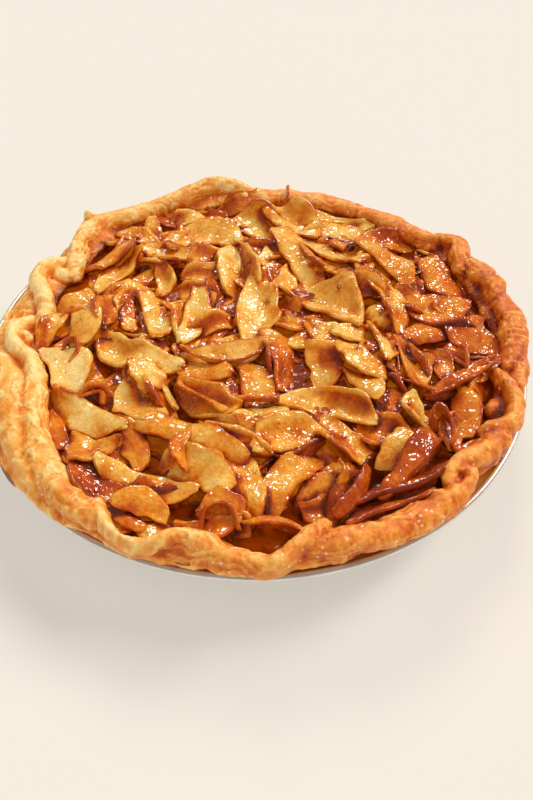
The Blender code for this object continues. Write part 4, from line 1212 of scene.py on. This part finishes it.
def bed_rows(rng):
    """Rows for the scattered slices of the bed, the ones that show between the top slices."""
    rows = []
    while len(rows) < BED_COUNT:
        angle = rng.uniform(0, 360)
        radius = BED_R * math.sqrt(rng.uniform(0, 1))
        x, y = radius * math.cos(math.radians(angle)), radius * math.sin(math.radians(angle))
        if any(math.hypot(x - px, y - py) < reach + BED_FROM_POOL for px, py, reach, _ in POOLS):
            continue
        if radius > round_the_rim(RIM_BANK, [angle], 1)[0] - BED_FROM_RIM:
            continue
        width = rng.uniform(5, 9.5)
        rows.append((
            x, y, rng.uniform(0, 360), rng.uniform(26, 44), width, width * rng.uniform(0.3, 0.9),
            np.clip(rng.normal(0, 16), -18, 18), rng.normal(0, 5), rng.uniform(0.3, 0.75),
        ))
    return rows


def painted_crevice_shade(heap, points):
    """Painted shade for points, from 0 to 1: how far they lie in the shade of what is beside them.
    A buried point counts as one just under the top, so that no slice darkens where an end of it comes out."""
    x, y = points[:, 0], points[:, 1]
    height = np.maximum(points[:, 2], read_map(heap, x, y) - SHADE_REACH)
    shade = 0.5 * smoothstep(0.0, 5.0, read_map(blurred(heap, 5.0), x, y) - height)
    for turn in np.radians(np.arange(0, 360, 30)):
        for reach in (1.2, 2.4):
            beside = read_map(heap, x + reach * math.cos(turn), y + reach * math.sin(turn))
            shade = shade + smoothstep(0.4, 2.0, beside - height) / 10
    return np.clip(shade, 0, 1)


def ribbon(rows, sides=12):
    """A strip of apple along a curve, and how near each point is to the strip's edge."""
    path = spline(rows, 1.6)
    places = path[:, :3]
    ripple = Noise(int(abs(rows[0][0] * 7 + rows[0][1] * 3)) + 50)
    turns = round_steps(sides)
    across = np.sign(np.cos(turns)) * np.abs(np.cos(turns)) ** 0.55
    through = np.sign(np.sin(turns)) * np.abs(np.sin(turns)) ** 0.55
    rings = []
    for i, shift, share, along, side, up in tube_rings(places, STRIP_CAP):
        half_width, half_thick, bank = path[i, 3:]
        wide = math.cos(math.radians(bank)) * side + math.sin(math.radians(bank)) * up
        thick = np.cross(wide, along)
        spots = places[i][None] + 9 * np.sign(across)[:, None]
        spread = share * half_width * across * (1.15 + 0.35 * ripple(spots, 4.0))
        rise = 0.75 * half_thick * through * (0.5 + 0.5 * share)
        rise = rise + 0.8 * across**2 * ripple(spots + 5, 5.0)
        middle = places[i] + along * shift * half_thick
        rings.append(middle + spread[:, None] * wide + rise[:, None] * thick)
    near = np.tile(np.abs(across), len(rings))
    return np.concatenate(rings), tube_faces(len(rings), sides), near


def lay_slices():
    """The slices in the order they lie, and the heap with them on it."""
    rng = np.random.default_rng(BED_SEED)
    heap, laid = empty_heap(), []
    batches = ((bed_rows(rng), BED_LAID), (MIDDLE_SLICES, MIDDLE_LAID), (TOP_SLICES, TOP_LAID))
    for rows, (*steps, clear) in batches:
        for row in rows:
            one = Slice(row, rng, steps)
            one.settle(heap, clear)
            laid.append(one)
    return laid, settled_height(heap)


def make_slices(laid, heap):
    """Every slice and strip as one piece, with its tone, its edges' tone and its painted shade."""
    rng = np.random.default_rng(BED_SEED)
    shape, tones, edges = Shape(), [], []
    for one in laid:
        points, faces, near = one.skin()
        shape.add(points, faces)
        tones.append(np.full(len(points), one.tone + rng.uniform(-0.1, 0.1)))
        edges.append(one.browned * near)
    for tone, rows in STRIPS:
        points, faces, near = ribbon(rows)
        shape.add(points, faces)
        tones.append(np.full(len(points), tone))
        edges.append(0.1 * smoothstep(0.5, 1.0, near))
    made = shape.object("apple_slices")
    points = read_points(made.data)
    points[:, 2] = settled_height(points[:, 2])
    write_points(made.data, points)
    x, y, height = points.T
    raised = smoothstep(1.0, 4.5, height - read_map(blurred(heap, 6.0), x, y))
    right_front = smoothstep(-60, 90, x - y * 0.8)
    tone = 0.02 + 0.68 * np.concatenate(tones) + 0.07 * right_front**2
    set_attribute(made.data, "tone", np.clip(tone, 0, 1))
    set_attribute(made.data, "edge", np.concatenate(edges) * (0.5 + raised))
    # Painted shade in the crevices between slices, kept as the depth attribute.
    set_attribute(made.data, "depth", painted_crevice_shade(heap, points))
    return made


def pool_of(points):
    """How deep and dark the syrup looks at points, from 0 to 1, most of all in the open pools."""
    deep = 0.55 + 0.2 * smoothstep(-40, 90, points[:, 0] - 0.8 * points[:, 1])
    for x, y, reach, dark in POOLS:
        away = np.hypot(points[:, 0] - x, points[:, 1] - y)
        deep += (dark - deep) * smoothstep(2.2 * reach, 0.8 * reach, away)
    return deep


def make_syrup(heap):
    """The syrup and the body of the filling, with syrup in the cracks between slices."""
    cracks = widened(widened(heap, CRACK_REACH, np.maximum), CRACK_REACH, np.minimum)
    cracks = blurred(cracks, 1.6) - CRACK_DROP
    tops = widened(heap, 1, np.minimum)
    turn = round_steps(SYRUP_SIDES)
    wall = round_the_rim(RIM_BANK, np.degrees(turn), 1) + SYRUP_UNDER_RIM
    wander = Noise(41)
    layers, deeps = [], []
    for share in np.linspace(0.0, 1.0, SYRUP_RINGS):
        radius = AXIS_R + share * (wall - AXIS_R)
        ring = turned(radius, turn, 0)
        level = syrup_z(radius) + 0.25 * wander(ring, 9.0)
        crack = read_map(cracks, ring[:, 0], ring[:, 1])
        under = read_map(tops, ring[:, 0], ring[:, 1])
        ring[:, 2] = np.maximum(level, np.minimum(crack, under + SYRUP_FILM))
        layers.append(ring)
        deep = pool_of(ring) - 0.45 * smoothstep(0.0, 4.0, ring[:, 2] - level)
        deeps.append(deep * smoothstep(-0.4, 1.4, ring[:, 2] - under))
    for radius, height in FILLING_FOOT:
        layers.append(turned(radius, turn, height))
        deeps.append(0 * turn + 0.6)
    shape = Shape()
    shape.add(np.concatenate(layers), ring_faces(len(layers), SYRUP_SIDES))
    made = shape.object("apple_syrup")
    set_attribute(made.data, "deep", np.clip(np.concatenate(deeps), 0, 1))
    return made


# ---------------------------------------------------------------- studio


def make_floor():
    shape = Shape()
    square = np.array(((-1, -1, 0), (1, -1, 0), (1, 1, 0), (-1, 1, 0)))
    shape.add(FLOOR_HALF * square, [(0, 1, 2, 3)])
    floor = shape.object("floor", smooth=False)
    floor.location.z = -FLOOR_GAP * MM
    floor.data.materials.append(floor_material())


def make_light(name, towards, width, strength, colour, mirrored):
    lamp = bpy.data.lights.new(name, "SUN")
    lamp.angle = math.radians(width)
    lamp.energy = strength
    lamp.color = colour
    made = bpy.data.objects.new(name, lamp)
    bpy.context.scene.collection.objects.link(made)
    made.location = towards
    made.visible_glossy = mirrored
    made.rotation_euler = (-Vector(towards)).to_track_quat("-Z", "Y").to_euler()


def make_sky():
    world = bpy.data.worlds.new("studio")
    bpy.context.scene.world = world
    world.use_nodes = True
    background = world.node_tree.nodes["Background"]
    background.inputs["Color"].default_value = SKY_COLOUR
    background.inputs["Strength"].default_value = SKY_STRENGTH


def make_camera():
    down, roll = math.radians(CAMERA_DOWN), math.radians(CAMERA_ROLL)
    ahead = Vector((0, math.cos(down), -math.sin(down)))
    right = Vector((1, 0, 0))
    up = right.cross(ahead)
    level_x = math.cos(roll) * right + math.sin(roll) * up
    level_y = math.cos(roll) * up - math.sin(roll) * right
    matrix = Matrix((level_x, level_y, -ahead)).transposed().to_4x4()
    matrix.translation = Vector(CAMERA_PLACE) * MM
    lens = bpy.data.cameras.new("camera")
    lens.lens = CAMERA_LENS
    lens.clip_start = 0.01
    camera = bpy.data.objects.new("camera", lens)
    bpy.context.scene.collection.objects.link(camera)
    camera.matrix_world = matrix
    bpy.context.scene.camera = camera


def dress(piece, material, slot, *nodes):
    """Gives a piece its material and its body, and hides the parts of the model that it stands for."""
    piece.data.materials.append(material)
    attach(piece, "root")
    if nodes:
        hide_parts(*nodes)


def main():
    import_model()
    make_camera()
    dress(make_pan(), foil_material(), "pan", "pan")
    dress(make_crust(), crust_material(), "crust", "crust")
    laid, heap = lay_slices()
    dress(make_syrup(heap), syrup_material(), "filling", "filling")
    dress(make_slices(laid, heap), apple_material(), "filling")
    make_floor()
    for name, light in LIGHTS.items():
        make_light(name, *light)
    make_sky()
    bpy.context.scene.view_settings.view_transform = "Standard"


main()
